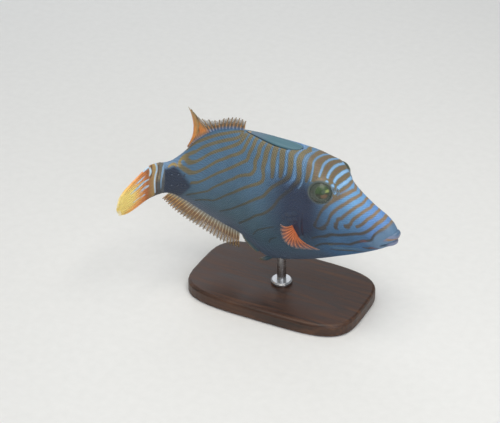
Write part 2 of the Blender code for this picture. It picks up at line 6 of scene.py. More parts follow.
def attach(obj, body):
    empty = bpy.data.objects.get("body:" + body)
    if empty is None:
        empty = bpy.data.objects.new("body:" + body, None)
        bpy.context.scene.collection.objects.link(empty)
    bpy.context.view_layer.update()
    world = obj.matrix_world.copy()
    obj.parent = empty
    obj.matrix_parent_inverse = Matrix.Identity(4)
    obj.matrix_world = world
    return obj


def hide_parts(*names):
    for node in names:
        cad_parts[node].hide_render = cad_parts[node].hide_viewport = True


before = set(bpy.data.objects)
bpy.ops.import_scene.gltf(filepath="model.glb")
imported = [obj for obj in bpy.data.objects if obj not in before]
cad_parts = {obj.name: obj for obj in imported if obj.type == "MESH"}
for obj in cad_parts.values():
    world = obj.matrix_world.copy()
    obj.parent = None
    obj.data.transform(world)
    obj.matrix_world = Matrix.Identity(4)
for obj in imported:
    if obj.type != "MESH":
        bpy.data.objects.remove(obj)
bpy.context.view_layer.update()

MM = 0.001


# The studio. The model stands on a matt pale floor under one broad soft light from above and two
# weak ones from the sides, and the camera looks down on its right flank from in front.
CAMERA_TURN = np.radians(26.77)
CAMERA_HEIGHT = np.radians(32.21)
CAMERA_AWAY = 1300.0
AIM = np.array([-7.99, 0.0, 82.38])
AIM_PIXEL = (272.5, 196.6)
IMAGE = (500, 423)
PIXELS_PER_MM = 1.378
SENSOR = 36.0
FLOOR_REACH = 3000.0
MIDDLE = (0.0, 0.0, 0.09)


def linear(hex_colour):
    """Linear red, green, blue and alpha of an sRGB hex colour: its two-piece curve undone."""
    srgb = np.array([int(hex_colour[i:i + 2], 16) for i in (1, 3, 5)]) / 255
    value = np.where(srgb <= 0.04045, srgb / 12.92, ((srgb + 0.055) / 1.055) ** 2.4)
    return (*(float(v) for v in value), 1.0)


def plug(node, values):
    """Sets each named or numbered input of a node to a number or an sRGB hex colour, or joins it to
    another node's output."""
    for key, value in values.items():
        if isinstance(value, bpy.types.NodeSocket):
            node.id_data.links.new(value, node.inputs[key])
        else:
            node.inputs[key].default_value = linear(value) if isinstance(value, str) else value


def add(tree, kind, *values, stops=(), **settings):
    """Adds a node and gives its output. Its kind says the type, the properties, which inputs the
    values go to in turn, and the output; stops are a colour ramp's (position, hex colour) pairs."""
    node_type, properties, inputs, output = kind
    node = tree.nodes.new(node_type)
    for key, value in {**properties, **settings}.items():
        setattr(node, key, value)
    plug(node, dict(zip(inputs, values)))
    for _ in stops[2:]:
        node.color_ramp.elements.new(1.0)
    for i, (position, colour) in enumerate(stops):
        node.color_ramp.elements[i].position = position
        node.color_ramp.elements[i].color = linear(colour)
    return node.outputs[output]


MIX = ("ShaderNodeMix", {"data_type": "RGBA"}, (0, 6, 7), 2)
NOISE = ("ShaderNodeTexNoise", {}, ("Scale", "Detail", "Vector", "Distortion"), 0)


def new_material(name):
    """A material with only a Principled shader: its tree, the shader and the material."""
    made = bpy.data.materials.new(name)
    made.use_nodes = True
    return made.node_tree, made.node_tree.nodes["Principled BSDF"], made


def plain_mesh(name, points, faces):
    """Mesh from points in millimetres and arrays of faces with 3, 4 or more corners each."""
    mesh = bpy.data.meshes.new(name)
    points = np.asarray(points, float).reshape(-1, 3)
    corners = np.concatenate([np.asarray(part).ravel() for part in faces])
    sizes = np.concatenate([np.full(len(part), np.shape(part)[1]) for part in faces])
    mesh.vertices.add(len(points))
    mesh.vertices.foreach_set("co", (points * MM).ravel())
    mesh.loops.add(len(corners))
    mesh.loops.foreach_set("vertex_index", corners.astype(np.int32))
    mesh.polygons.add(len(sizes))
    mesh.polygons.foreach_set("loop_start", (np.cumsum(sizes) - sizes).astype(np.int32))
    mesh.update(calc_edges=True)
    mesh.shade_smooth()
    return mesh


def show(mesh, made, slot=None, *replaced):
    """Object of the mesh with the material, riding on the model in the place of the solids."""
    obj = bpy.data.objects.new(mesh.name, mesh)
    bpy.context.scene.collection.objects.link(obj)
    mesh.materials.append(made)
    if slot:
        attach(obj, "root")
    if replaced:
        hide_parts(*replaced)
    return obj


# Matt paint on board, which gives no reflection, only a soft shadow under the stand.
tree, shader, pale_floor = new_material("matt_pale_floor")
tint = add(tree, MIX, add(tree, NOISE, 900.0, 4.0), "#e4e5e4", "#ecedec")
plug(shader, {"Base Color": tint, "Roughness": 0.9})
floor_at = [(x, y, 0.0) for x in (-FLOOR_REACH, FLOOR_REACH) for y in (-FLOOR_REACH, FLOOR_REACH)]
floor = show(plain_mesh("floor", floor_at, [[(0, 2, 3, 1)]]), pale_floor)

world = bpy.context.scene.world or bpy.data.worlds.new("studio")
bpy.context.scene.world = world
world.use_nodes = True
plug(world.node_tree.nodes["Background"], {"Color": "#eef1f4", "Strength": 0.38})


def set_up(name, data, at, side, up, away):
    """Lamp or camera at a place in metres, facing against away, with its own side and up."""
    obj = bpy.data.objects.new(name, data)
    turn = np.eye(4)
    turn[:3, :3] = np.stack([side, up, away], axis=1)
    turn[:3, 3] = at
    obj.matrix_world = Matrix(turn.tolist())
    bpy.context.scene.collection.objects.link(obj)
    return obj


def soft_light(name, at, size, watts, hex_colour):
    """Square area light of a size in metres, turned to face the middle of the model."""
    lamp = bpy.data.lights.new(name, "AREA")
    lamp.size = size
    lamp.energy = watts
    lamp.color = linear(hex_colour)[:3]
    away = np.array(at, float) - MIDDLE
    away /= np.linalg.norm(away)
    side = np.cross((0.0, 1.0, 0.01), away)
    side /= np.linalg.norm(side)
    set_up(name, lamp, at, side, np.cross(away, side), away)


soft_light("light_above", (0.12, -0.12, 0.95), 0.7, 6.2, "#fffaf2")
soft_light("light_front", (0.75, -0.85, 0.55), 0.8, 4.2, "#f4f8ff")
soft_light("light_back", (-0.7, 0.8, 0.6), 0.8, 2.2, "#f4f8ff")

cos_turn, sin_turn = np.cos(CAMERA_TURN), np.sin(CAMERA_TURN)
cos_height, sin_height = np.cos(CAMERA_HEIGHT), np.sin(CAMERA_HEIGHT)
right = np.array([cos_turn, sin_turn, 0])
up = np.array([-sin_turn * sin_height, cos_turn * sin_height, cos_height])
ahead = np.array([-sin_turn * cos_height, cos_turn * cos_height, -sin_height])
centre = AIM + right * (IMAGE[0] / 2 - AIM_PIXEL[0]) / PIXELS_PER_MM
centre = centre - up * (IMAGE[1] / 2 - AIM_PIXEL[1]) / PIXELS_PER_MM
sight = bpy.data.cameras.new("camera")
sight.sensor_width = SENSOR
sight.lens = SENSOR * CAMERA_AWAY / (IMAGE[0] / PIXELS_PER_MM)
sight.clip_start = 0.01
sight.clip_end = 20.0
camera = set_up("camera", sight, (centre - ahead * CAMERA_AWAY) * MM, right, up, -ahead)
bpy.context.scene.camera = camera
bpy.context.scene.view_settings.view_transform = "Standard"


# The skin: one closed hide over head, trunk and tail stalk, cast in resin from the fish and
# painted by hand, with the sockets of the eyes, the groove of the folded fin and the gill slits.
BACK = (
    (2.5, 4.2), (5, 7.8), (10, 12), (20, 17.3), (40, 29.5), (55, 40.3), (66, 45.8), (80, 48.3),
    (95, 49.5), (108, 49.8), (120, 49.2), (135, 47), (150, 41), (162, 31), (172, 19), (180, 13),
    (190, 13),
)
BELLY = (
    (2.5, -5.5), (5, -9.3), (10, -13.3), (20, -19.8), (45, -33), (70, -44.5), (88, -50.5), (98, -53),
    (106, -51), (114, -45.5), (123, -40.5), (140, -35.5), (158, -28), (170, -21), (180, -15.5),
    (190, -15),
)
HALF_WIDTH = (
    (2.5, 4), (5, 5.8), (10, 7.8), (20, 9.5), (40, 13), (56, 18), (75, 18.5), (95, 17), (120, 14),
    (145, 10), (168, 6), (180, 4.6), (190, 3.4),
)
WIDEST_AT = ((2.5, -1), (20, 0), (50, 6), (70, 5), (100, 0), (190, -1))
ROUND_ABOVE = (
    (2.5, 2), (20, 2.1), (40, 2.6), (56, 3.3), (66, 3), (80, 2.6), (110, 2.2), (150, 1.9), (190, 2),
)
ROUND_BELOW = ((2.5, 2), (30, 1.9), (60, 1.7), (100, 1.6), (150, 1.8), (190, 2))
SWING = ((128, 0), (150, 9), (170, 26), (182, 42), (194, 66), (206, 80), (240, 84))
NOSE_DOWN = np.radians(2.7)
ROD_AT = 92.0
BACKBONE_HEIGHT = 82.0
SNOUT, TAIL_BASE = 2.5, 190.0
SKIN_INSIDE = 0.3
EYE = np.array([55.8, 15.9, 27.5])
EYE_FACES = np.array([-0.14, 0.95, 0.27]) / np.linalg.norm([-0.14, 0.95, 0.27])
BROW_RISE, BROW_SPREAD, BROW_OUT, BROW_UP = 4.4, 7.6, 0.75, 0.66
GROOVE = (
    (78.5, 0.3), (80, 2.6), (84, 5.0), (90, 6.3), (98, 6.3), (107, 5.1), (116, 2.9), (122, 1.1),
    (124, 0.2),
)
GROOVE_DEPTH = 2.6
GILL_TOP, GILL_BOTTOM, GILL_MIDDLE, GILL_AT, GILL_BOW = 7.0, -15.0, -4.0, 67.4, 1.6
SOCKET_DEEP = -8.0
BELOW_BROW = 30.0


def spline(knots, at):
    """Smooth curve through (position, value) knots, with the slope at each knot from its neighbours."""
    knots = np.asarray(knots, float)
    x, y = knots[:, 0], knots[:, 1]
    step = np.diff(x)
    rise = np.diff(y) / step
    slope = np.empty_like(y)
    slope[1:-1] = (rise[:-1] * step[1:] + rise[1:] * step[:-1]) / (step[1:] + step[:-1])
    slope[0] = 1.5 * rise[0] - 0.5 * slope[1] if len(x) > 2 else rise[0]
    slope[-1] = 1.5 * rise[-1] - 0.5 * slope[-2] if len(x) > 2 else rise[0]
    at = np.clip(np.asarray(at, float), x[0], x[-1])
    i = np.clip(np.searchsorted(x, at, side="right") - 1, 0, len(x) - 2)
    t = (at - x[i]) / step[i]
    start = (1 + 2 * t) * (1 - t) ** 2 * y[i] + t * (1 - t) ** 2 * step[i] * slope[i]
    end = t * t * (3 - 2 * t) * y[i + 1] + t * t * (t - 1) * step[i] * slope[i + 1]
    return start + end


def fade(value, start, end):
    """0 before start and 1 after end, with a smooth step between; start may be past end."""
    t = np.clip((value - start) / (end - start), 0, 1)
    return t * t * (3 - 2 * t)


def unit(vectors):
    """Vectors scaled to length one."""
    return vectors / np.maximum(np.linalg.norm(vectors, axis=-1, keepdims=True), 1e-9)


BACKBONE_S = np.linspace(0, 260, 1041)
BACKBONE_TURN = np.radians(spline(SWING, BACKBONE_S))


def along_backbone(rate):
    """Length covered from the snout by something that changes at this rate along the backbone."""
    middle = 0.5 * (rate[1:] + rate[:-1]) * np.diff(BACKBONE_S)
    return np.concatenate([[0], np.cumsum(middle)])


BACKBONE_X = -along_backbone(np.cos(BACKBONE_TURN))
BACKBONE_Y = -along_backbone(np.sin(BACKBONE_TURN))


def place(s, y, z):
    """Model points for places s along the backbone, y to the left and z up: the backbone swings
    to the right from the tail stalk on, and the whole fish tips its nose down."""
    s, y, z = np.broadcast_arrays(np.asarray(s, float), y, z)
    turn = np.interp(s, BACKBONE_S, BACKBONE_TURN)
    x = np.interp(s, BACKBONE_S, BACKBONE_X) - np.sin(turn) * y + ROD_AT
    side = np.interp(s, BACKBONE_S, BACKBONE_Y) + np.cos(turn) * y
    tipped_x = x * np.cos(NOSE_DOWN) + z * np.sin(NOSE_DOWN)
    tipped_z = z * np.cos(NOSE_DOWN) - x * np.sin(NOSE_DOWN)
    return np.stack([tipped_x, side, tipped_z + BACKBONE_HEIGHT], axis=-1)


def section(s, angle):
    """y and z of the hide at s: a rounded form from the belly at -90 degrees to the back at 90,
    with the swelling of the brow added round the eye."""
    widest = spline(WIDEST_AT, s)
    rising = np.sin(angle) >= 0
    power = 2 / np.where(rising, spline(ROUND_ABOVE, s), spline(ROUND_BELOW, s))
    height = np.where(rising, spline(BACK, s) - widest, widest - spline(BELLY, s)) - SKIN_INSIDE
    y = (spline(HALF_WIDTH, s) - SKIN_INSIDE) * np.abs(np.cos(angle)) ** power
    z = widest + height * np.sign(np.sin(angle)) * np.abs(np.sin(angle)) ** power
    near_eye = (s - EYE[0]) ** 2 + (z - EYE[2]) ** 2 + (y - EYE[1]) ** 2
    brow = BROW_RISE * np.exp(-near_eye / (2 * BROW_SPREAD**2))
    return y + BROW_OUT * brow, z + BROW_UP * brow


# Table of the flank: for each s, points at equal shares of the way from the back's middle line
# round to the belly's, so that a place can be given as s and the girth g walked down the flank.
TABLE_S = np.linspace(SNOUT, TAIL_BASE, 751)
TABLE_SHARE = np.linspace(0, 1, 361)
walk_s, walk_angle = np.meshgrid(TABLE_S, np.radians(np.linspace(90, -90, 721)), indexing="ij")
walk_y, walk_z = section(walk_s, walk_angle)
walked = np.hypot(np.diff(walk_y, axis=1), np.diff(walk_z, axis=1)).cumsum(axis=1)
walked = np.concatenate([np.zeros((len(TABLE_S), 1)), walked], axis=1)
GIRTH = walked[:, -1]
TABLE_Y = np.stack([np.interp(TABLE_SHARE * w[-1], w, y) for w, y in zip(walked, walk_y)])
TABLE_Z = np.stack([np.interp(TABLE_SHARE * w[-1], w, z) for w, z in zip(walked, walk_z)])
TABLE_Y *= np.clip(np.minimum(TABLE_SHARE, 1 - TABLE_SHARE) / 0.012, 0, 1)
table_grid = np.stack([np.broadcast_to(TABLE_S[:, None], TABLE_Y.shape), TABLE_Y, TABLE_Z], axis=-1)
TABLE_OUT = unit(np.cross(np.gradient(table_grid, axis=1), np.gradient(table_grid, axis=0)))
TABLE_OUT[:, (0, -1), 1] = 0.0
TABLE_OUT = unit(TABLE_OUT)
if TABLE_OUT[300, 180, 1] < 0:
    TABLE_OUT = -TABLE_OUT


def looked_up(table, s, share):
    """Values of a table over s and share, mixed from the four nearest entries."""
    row = np.clip((s - SNOUT) / (TAIL_BASE - SNOUT) * (len(TABLE_S) - 1), 0, len(TABLE_S) - 1.001)
    col = np.clip(share * (len(TABLE_SHARE) - 1), 0, len(TABLE_SHARE) - 1.001)
    i, j = row.astype(int), col.astype(int)
    a, b = row - i, col - j
    if table.ndim == 3:
        a, b = a[..., None], b[..., None]
    low = table[i, j] * (1 - b) + table[i, j + 1] * b
    high = table[i + 1, j] * (1 - b) + table[i + 1, j + 1] * b
    return low * (1 - a) + high * a


def flank(s, g):
    """Body coordinates and outward direction of the hide at s and girth g: g is above zero on the
    right flank and below zero on the left."""
    share = np.clip(np.abs(g) / np.interp(s, TABLE_S, GIRTH), 0, 1)
    side = np.where(g > 0, -1.0, 1.0)
    at = np.stack([s, side * looked_up(TABLE_Y, s, share), looked_up(TABLE_Z, s, share)], axis=-1)
    out = looked_up(TABLE_OUT, s, share)
    return at, np.stack([out[..., 0], side * out[..., 1], out[..., 2]], axis=-1)


def from_eye(at):
    """Distance from the axis of the nearer eye, and height along it."""
    gap = np.stack([at[..., 0] - EYE[0], np.abs(at[..., 1]) - EYE[1], at[..., 2] - EYE[2]], axis=-1)
    along = gap @ EYE_FACES
    return np.linalg.norm(gap - along[..., None] * EYE_FACES, axis=-1), along


def gill_line(z):
    """s of the gill slit at height z, bowed backwards in the middle."""
    share = np.clip((z - GILL_BOTTOM) / (GILL_TOP - GILL_BOTTOM), 0, 1)
    return GILL_AT + GILL_BOW * np.sin(np.pi * share)


def ridge(value, middle, width):
    """A smooth bump of height one over the middle, and about nothing two widths away."""
    return np.exp(-(((value - middle) / width) ** 2))


def relief(at, g):
    """How far the hide stands out of its plain form: the rim of the eye socket rises as a ring and
    the socket drops inside it; the groove on the back and the gill slit are cut in."""
    s, z = at[..., 0], at[..., 2]
    radius, along = from_eye(at)
    rim = 0.5 * ridge(radius, 8.7, 1.1) + 0.2 * ridge(radius, 11.0, 0.9)
    socket = 4.5 * fade(radius, 7.45, 6.2)
    trough = GROOVE_DEPTH * fade(np.abs(g) - spline(GROOVE, s), 0.25, -0.25)
    trough = trough * fade(s, 78.2, 79.4) * fade(s, 124, 122)
    from_middle = np.abs(z - GILL_MIDDLE)
    slit = 0.7 * ridge(s, gill_line(z), 0.55) * fade(from_middle, 11.5, 9.5)
    crease = 0.25 * ridge(s, gill_line(z) - 2.2, 1.0) * fade(from_middle, 13, 9)
    on_eye = fade(along, SOCKET_DEEP, -5) * (rim - socket)
    return on_eye - trough + (crease - slit) * (np.abs(g) > BELOW_BROW)


def on_hide(s, g, lift=0.0):
    """Model points at s and girth g, standing off the hide by the lift, relief included."""
    at, out = flank(s, g)
    moved = at + out * (relief(at, g) + lift)[..., None]
    return place(*np.moveaxis(moved, -1, 0))


# The painted lines: each is a brush stroke through a few places (s, g), in millimetres, with the
# half width of the stroke at its start, middle and end.
LINES = (
    # Snout and cheek
    (((6.7, 0), (6.9, 3.2), (8.4, 6.1), (10.4, 10), (13.8, 15.5), (16, 20), (17.7, 25),
      (20.6, 27.9), (24.1, 31.4), (29.1, 37.9), (34.1, 45), (38.2, 48.9), (42.9, 55), (48.9, 64.3),
      (57.9, 77.5)), (1.2, 0.8, 0.6)),
    (((11.8, 0), (11.6, 1.8), (12.4, 4.3), (15.6, 10), (18.4, 15.4), (21.8, 21.1), (25.6, 26.1),
      (29.1, 29.6), (32.7, 33.6), (38.1, 40), (42.1, 45), (46.1, 50.4), (51.1, 60), (60, 70)),
      (1.1, 0.85, 0.7)),
    (((17.2, 0), (18.8, 5.7), (22, 11.1), (24.3, 16.1), (27, 20.7), (29, 23.5)), (0.95, 0.9, 0.9)),
    (((23, -0.4), (22.5, 1.4), (24.7, 6.8), (27.4, 11.8), (29.9, 16.4), (32.2, 21.1), (33.4, 25.7),
      (35.8, 29.6), (37, 31.5)), (0.9, 0.9, 1.0)),
    (((27.9, 0), (27.7, 1.8), (28.3, 4.6), (30.9, 9.3), (33.4, 13.9), (35.8, 18.6), (37.9, 22.9),
      (39.7, 27.1), (42.2, 31.4), (42.9, 36), (44, 41)), (0.9, 0.85, 1.0)),
    (((32, 0), (33.1, 3.9), (35.6, 8.6), (38.3, 13.9), (40.9, 18.6), (43.1, 23.2), (45.2, 28.6),
      (46.8, 33.2), (48.1, 39.3), (48.9, 43.9), (50.7, 49.6), (53.6, 56)), (0.95, 0.8, 0.7)),
    (((36.4, 0), (38.3, 5.4), (41.8, 12.1), (44.3, 16.8), (46.3, 21.1), (48.4, 25.7), (51, 33),
      (53.9, 41), (56, 48.5), (58.3, 57)), (1.05, 0.85, 0.7)),
    (((40.9, 0), (41.3, 4.3), (43.4, 9.3), (45.4, 12.9), (47.5, 15), (48.5, 17.5)),
      (1.0, 1.1, 1.5)),
    # Bands of the nape, which the pale streaks are painted over
    (((45.8, 0), (46.1, 7), (46.9, 10.4), (48, 14), (48.6, 17)), (2.5, 2.7, 2.4)),
    (((51.1, 0), (51.1, 7), (50.8, 11.6), (51.5, 15), (52, 17)), (2.9, 2.9, 2.6)),
    (((56.7, 0), (56.9, 9.3), (56.7, 15), (56.7, 17)), (2.9, 2.9, 2.6)),
    (((62.0, 0), (62.3, 9.3), (61.5, 15), (61, 19)), (2.9, 2.9, 2.0)),
    (((67.0, 0), (67.8, 7.1), (67.4, 13.8), (66.9, 18.2), (67.0, 23)), (2.3, 2.2, 1.2)),
    # Trunk, from the nape back
    (((73.6, 0), (75.8, 4.0), (76.2, 8.5), (76, 12.2), (74.8, 16.2), (73.3, 21), (73.6, 25.8),
      (75.4, 28.8), (79.3, 35), (83.1, 39.6), (87.3, 45), (89.8, 50), (93.5, 55.4), (99.5, 61.5),
      (106, 65.5), (111, 70), (121, 78)), (1.5, 1.0, 0.7)),
    (((81.6, 3.4), (82.9, 6.5), (83.5, 8.4), (82.8, 12), (81.6, 17), (81.2, 21), (81.3, 24.2),
      (84.3, 28.8), (88.9, 32.9), (93.1, 36.7), (96.8, 41.7), (100.2, 46.7), (105.2, 50),
      (109.8, 53.3), (115.5, 57.5), (121, 61), (127, 65), (138, 69)), (1.4, 1.0, 0.5)),
    (((90.6, 5), (90.6, 8.5), (89.6, 12.5), (88.5, 18), (88, 22.5), (88, 27)), (1.4, 1.3, 1.0)),
    (((96.2, 4.4), (96.2, 7), (96, 12.5), (95.4, 20), (94.5, 25.8), (94.5, 29.2)),
      (1.4, 1.3, 1.1)),
    (((101.2, 4), (101.4, 6.3), (102.3, 11.7), (102.3, 18.3), (102.7, 25), (101.4, 31.7),
      (101.8, 34.2), (103.5, 36.3), (108.5, 39.6), (113.9, 42.5), (119.3, 45.8), (126.2, 50.4),
      (132, 53.3), (137.8, 56.3), (144.5, 58.3), (149.5, 56.7), (160.3, 51.7)), (1.35, 1.0, 0.4)),
    (((105.6, 3), (106.4, 5.4), (108.3, 10), (108.3, 15.8), (109.8, 21.7), (109.3, 27.5),
      (111.8, 31.7), (117.3, 33.8), (122.3, 35.8), (126.6, 38.8), (132.4, 41.7), (138.7, 44.6),
      (144.5, 46.7), (148.5, 48.4), (155.3, 47.1), (160.3, 45), (167.4, 39.6)), (1.3, 1.0, 0.4)),
    (((111.8, 2.4), (112.7, 4.2), (113.9, 11.3), (115.6, 16.7), (116.6, 21.7), (120.6, 24.6),
      (127, 28.8), (133.3, 32.1), (139.1, 34.2), (145.3, 36.3), (152, 37.5), (157.4, 36.7),
      (162, 33.8), (164.1, 32.1)), (1.25, 1.0, 0.8)),
    (((117, 1.8), (118.3, 6.7), (119.8, 11.7), (121, 15.4), (124.5, 18.3), (130.3, 20.8),
      (136.2, 23.3), (142, 25), (147.8, 27.1), (153.7, 27.9), (158.7, 27.1), (163.7, 23.8),
      (167, 18.8), (169.9, 13.8), (173, 8.8), (173.9, 6.4), (173.3, 4.2), (171.6, 3.6)),
      (1.2, 1.1, 1.0)),
    (((121.8, 3.4), (122.8, 6.3), (124.9, 10), (129.5, 12.9), (135.3, 15), (142, 16.7),
      (150.8, 17.9), (156.6, 18.3), (161.2, 17.1), (164.9, 14.2), (167.8, 9.2), (169.9, 5),
      (171.6, 3.6)), (1.2, 1.2, 1.0)),
    (((125, 3.6), (125.8, 5.4), (130.3, 7.9), (136.6, 9), (143.3, 10), (149.9, 10.2), (156.2, 9.4),
      (161.6, 9.0), (164.9, 6.9), (169.9, 3.8)), (1.1, 1.2, 1.0)),
    (((125.4, 1.4), (132, 2.9), (138.7, 4), (147.4, 4.6), (152.8, 4.2), (158.7, 2.9), (163.7, 1.3),
      (168, 0.2)), (0.8, 1.1, 0.9)),
    # Tail stalk
    (((182.2, 4.0), (180, 2.9), (177.6, 3.9), (176.3, 6.5)), (0.5, 0.7, 0.5)),
    # Chin
    (((9, 28.5), (12.5, 33), (14.4, 32.2), (16.8, 32.4), (19, 34.8), (24, 38)), (0.4, 1.0, 0.5)),
    (((14, 36.5), (20, 42.4), (26.2, 45.8), (33.2, 51.2), (40.5, 59), (47.5, 68)),
      (0.4, 0.5, 0.2)),
    # Hooked ends of the lines on the cheek
    (((57.5, 54), (57.4, 57.6), (55, 57.2), (52.2, 54), (50.4, 50.5)), (0.8, 0.8, 0.8)),
    (((44, 38), (43.4, 38.8), (42, 39.3)), (0.8, 0.9, 0.7)),
    (((37, 30.8), (35.6, 30.4), (34, 28.2)), (0.9, 0.9, 0.7)),
    # Under the pectoral fin
    (((91, 71), (96, 73.5), (100, 76), (104, 78.5), (107, 82), (109, 86)), (0.3, 0.4, 0.2)),
    (((88.5, 81), (93.5, 84), (95.5, 89)), (0.2, 0.35, 0.2)),
)
EYE_BAND = 9.9
ROUNDING = 1.1
FAR_AWAY = 9.0
BRUSH_REACH, BRUSH_STEP = 5.0, 1.2
CLEAR_OF_EYE = 40.0

# Pale blue strokes over the bands: across the forehead and nape from the left eye to the right one,
# short beads before the eyes, and the thin line along the throat.
STREAKS = (
    (((77, -9), (77.2, -3), (78.3, 2.5), (79.3, 7.2), (79.6, 10.5), (79.1, 13.2), (77.4, 17),
      (77, 22)), (0.35, 0.5, 0.15)),
    (((69.5, -20), (69.2, -10), (70.2, -3), (71.8, 2.8), (72.5, 8.8), (72, 14), (70.8, 18),
      (70, 22), (70.6, 27), (72.5, 31)), (0.3, 0.45, 0.15)),
    (((63.5, -22), (62.6, -14), (63, -8), (64.6, -3), (65.8, 2.5), (66.2, 8), (64.5, 13.8),
      (63.5, 21.5)), (0.4, 0.5, 0.3)),
    (((57.8, -17), (57, -12), (57.8, -8), (59.2, -2.8), (59.8, 4.5), (59, 9.8), (58.5, 15.2)),
      (0.45, 0.55, 0.45)),
    (((52.5, -15), (52.2, -11), (53, -7), (54, -1.2), (54, 5.8), (53.5, 11.8)), (0.5, 0.62, 0.5)),
    (((48, -12.6), (47.6, -8), (48.2, -2.2), (48.8, 4), (48.8, 10)), (0.5, 0.72, 0.5)),
    (((45, -13), (43.2, -7), (43, -2.2), (43.8, 4.2), (45.5, 11)), (0.5, 0.72, 0.6)),
    (((52.4, 14.2), (53.1, 15.8)), (0.45, 0.5, 0.45)),
    (((48.4, 12.6), (49.1, 14.4)), (0.5, 0.6, 0.5)),
    (((46.2, 14.8), (46.8, 16)), (0.45, 0.55, 0.45)),
    (((52.5, -14.5), (53, -16)), (0.6, 0.65, 0.55)),
    (((48.1, -15.2), (48.7, -17)), (0.7, 0.75, 0.65)),
    (((19, 38.6), (25.8, 42.4), (33, 48.4), (40.2, 56), (47.2, 64.5)), (0.35, 0.5, 0.2)),
)


def brushed(points, half_widths):
    """Points along a stroke through the given places, and its half width there."""
    points = np.asarray(points, float)
    way = np.concatenate([[0], np.cumsum(np.hypot(*np.diff(points, axis=0).T))])
    fine = np.linspace(0, way[-1], max(6, int(way[-1] / BRUSH_STEP)))
    s = spline(np.stack([way, points[:, 0]], axis=1), fine)
    g = spline(np.stack([way, points[:, 1]], axis=1), fine)
    width = spline(np.stack([(0, way[-1] / 2, way[-1]), half_widths], axis=1), fine)
    return s, g, width


def joined(first, second):
    """The smaller of two distances, with a rounded corner where they are alike."""
    t = np.clip(0.5 + 0.5 * (second - first) / ROUNDING, 0, 1)
    return second + (first - second) * t - ROUNDING * t * (1 - t)


def stroke_distance(strokes, s, g):
    """Signed distance in millimetres to the edge of the nearest stroke, below zero inside it."""
    nearest = np.full(s.shape, FAR_AWAY)
    for points, half_widths in strokes:
        path_s, path_g, width = brushed(points, half_widths)
        inside = (s > path_s.min() - BRUSH_REACH) & (s < path_s.max() + BRUSH_REACH)
        inside &= (g > path_g.min() - BRUSH_REACH) & (g < path_g.max() + BRUSH_REACH)
        here_s, here_g = s[inside], g[inside]
        best = np.full(here_s.shape, FAR_AWAY)
        for i in range(len(path_s) - 1):
            ds, dg = path_s[i + 1] - path_s[i], path_g[i + 1] - path_g[i]
            t = ((here_s - path_s[i]) * ds + (here_g - path_g[i]) * dg) / (ds * ds + dg * dg)
            t = np.clip(t, 0, 1)
            away = np.hypot(here_s - path_s[i] - t * ds, here_g - path_g[i] - t * dg)
            best = np.minimum(best, away - width[i] - (width[i + 1] - width[i]) * t)
        nearest[inside] = joined(nearest[inside], best)
    return nearest


def on_far_bank(s, g):
    """How far a place lies on the left bank of the groove, where the lines stop short."""
    return fade(-g, 10.5, 8.5) * (g < 0) * fade(s, 75, 78) * fade(s, 124, 119)


def line_distance(s, g, radius):
    """Distance to the painted lines and to the band over the eye. The lines are broader on the
    upper flank, most of all before the folded fin's end. The left flank has the same lines, drawn
    a little differently, and they stop short of the folded fin there."""
    free = fade(-g, 6, 20)
    moved_s = s + free * 0.9 * np.sin(np.abs(g) / 8.0)
    moved_g = np.abs(g) + free * 0.8 * np.sin(moved_s / 11.0)
    broader = fade(s, 68, 74) * (0.2 + 0.5 * fade(np.abs(g), 30, 18) * fade(s, 116, 98))
    nearest = stroke_distance(LINES, moved_s, moved_g) - broader
    band = np.abs(radius - EYE_BAND) - 1.15 * fade(np.abs(g), 25, 17)
    far_bank = on_far_bank(s, g)
    return joined(nearest, band) * (1 - far_bank) + 3.0 * far_bank


# Marks of the tail and the stalk's end in (s, height): pale blue bars and streaks, and dark edges.
TAIL_BLUE = (
    (((174, 13.2), (181.2, 12.6), (184.2, 11.6), (186.3, 9.6), (187.2, 6.5), (188.2, 3), (189, -1),
      (189, -5), (188.6, -9.5)), (0.7, 0.9, 0.35)),
    (((193.5, 14.5), (192.2, 12), (192.3, 9), (193.7, 4.8), (194.5, -0.2), (194.2, -5.8),
      (193.4, -11)), (0.8, 0.7, 0.6)),
    (((197.9, 11), (197.5, 8.2), (198.6, 5.4)), (0.8, 0.95, 0.6)),
    (((199, 12.3), (204.5, 10.7)), (0.6, 0.6, 0.3)),
    (((202.8, 5.8), (206.2, 5.2), (210.8, 4.8), (219, 4.4)), (0.5, 0.65, 0.3)),
    (((199.2, 2.2), (202.2, 1.6), (206.2, 0.9), (212, 0.3), (220, -0.6)), (0.65, 0.95, 0.35)),
    (((199.4, -3.2), (203, -4.1), (209.5, -5.4)), (0.8, 1.05, 0.6)),
    (((202.5, -9.6), (208.2, -9.7), (217, -9.4)), (0.45, 0.65, 0.3)),
)
TAIL_DARK = (
    (((190.2, 11.5), (191.2, 6.5), (192.4, 1.8), (193, -4.2), (192, -11.5)), (0.45, 0.5, 0.6)),
    (((196.2, 13), (196.5, 9.5), (197, 5.5), (198.2, 3)), (0.4, 0.4, 0.3)),
    (((186, -14.5), (192.8, -14.6), (197.5, -15.2), (202, -15.6), (208, -16)), (0.6, 0.5, 0.2)),
)


def tail_marks(s, z):
    """What the painter of the tail needs at each place: s, height, and the distances to the pale
    blue and to the dark marks."""
    s, z = np.broadcast_arrays(s, z)
    return {"tail_s": s, "tail_z": z, "tail_blue": stroke_distance(TAIL_BLUE, s, z),
            "tail_dark": stroke_distance(TAIL_DARK, s, z)}


BLOTCH_FRONT = ((0, 181), (4, 178.5), (7, 176.3), (15, 172), (24, 168), (32, 165), (42, 161))
FIRST_LINE = ((0, 6.7), (6, 8.4), (10, 10.4), (15.5, 13.8), (20, 16), (25, 17.7), (32, 24))


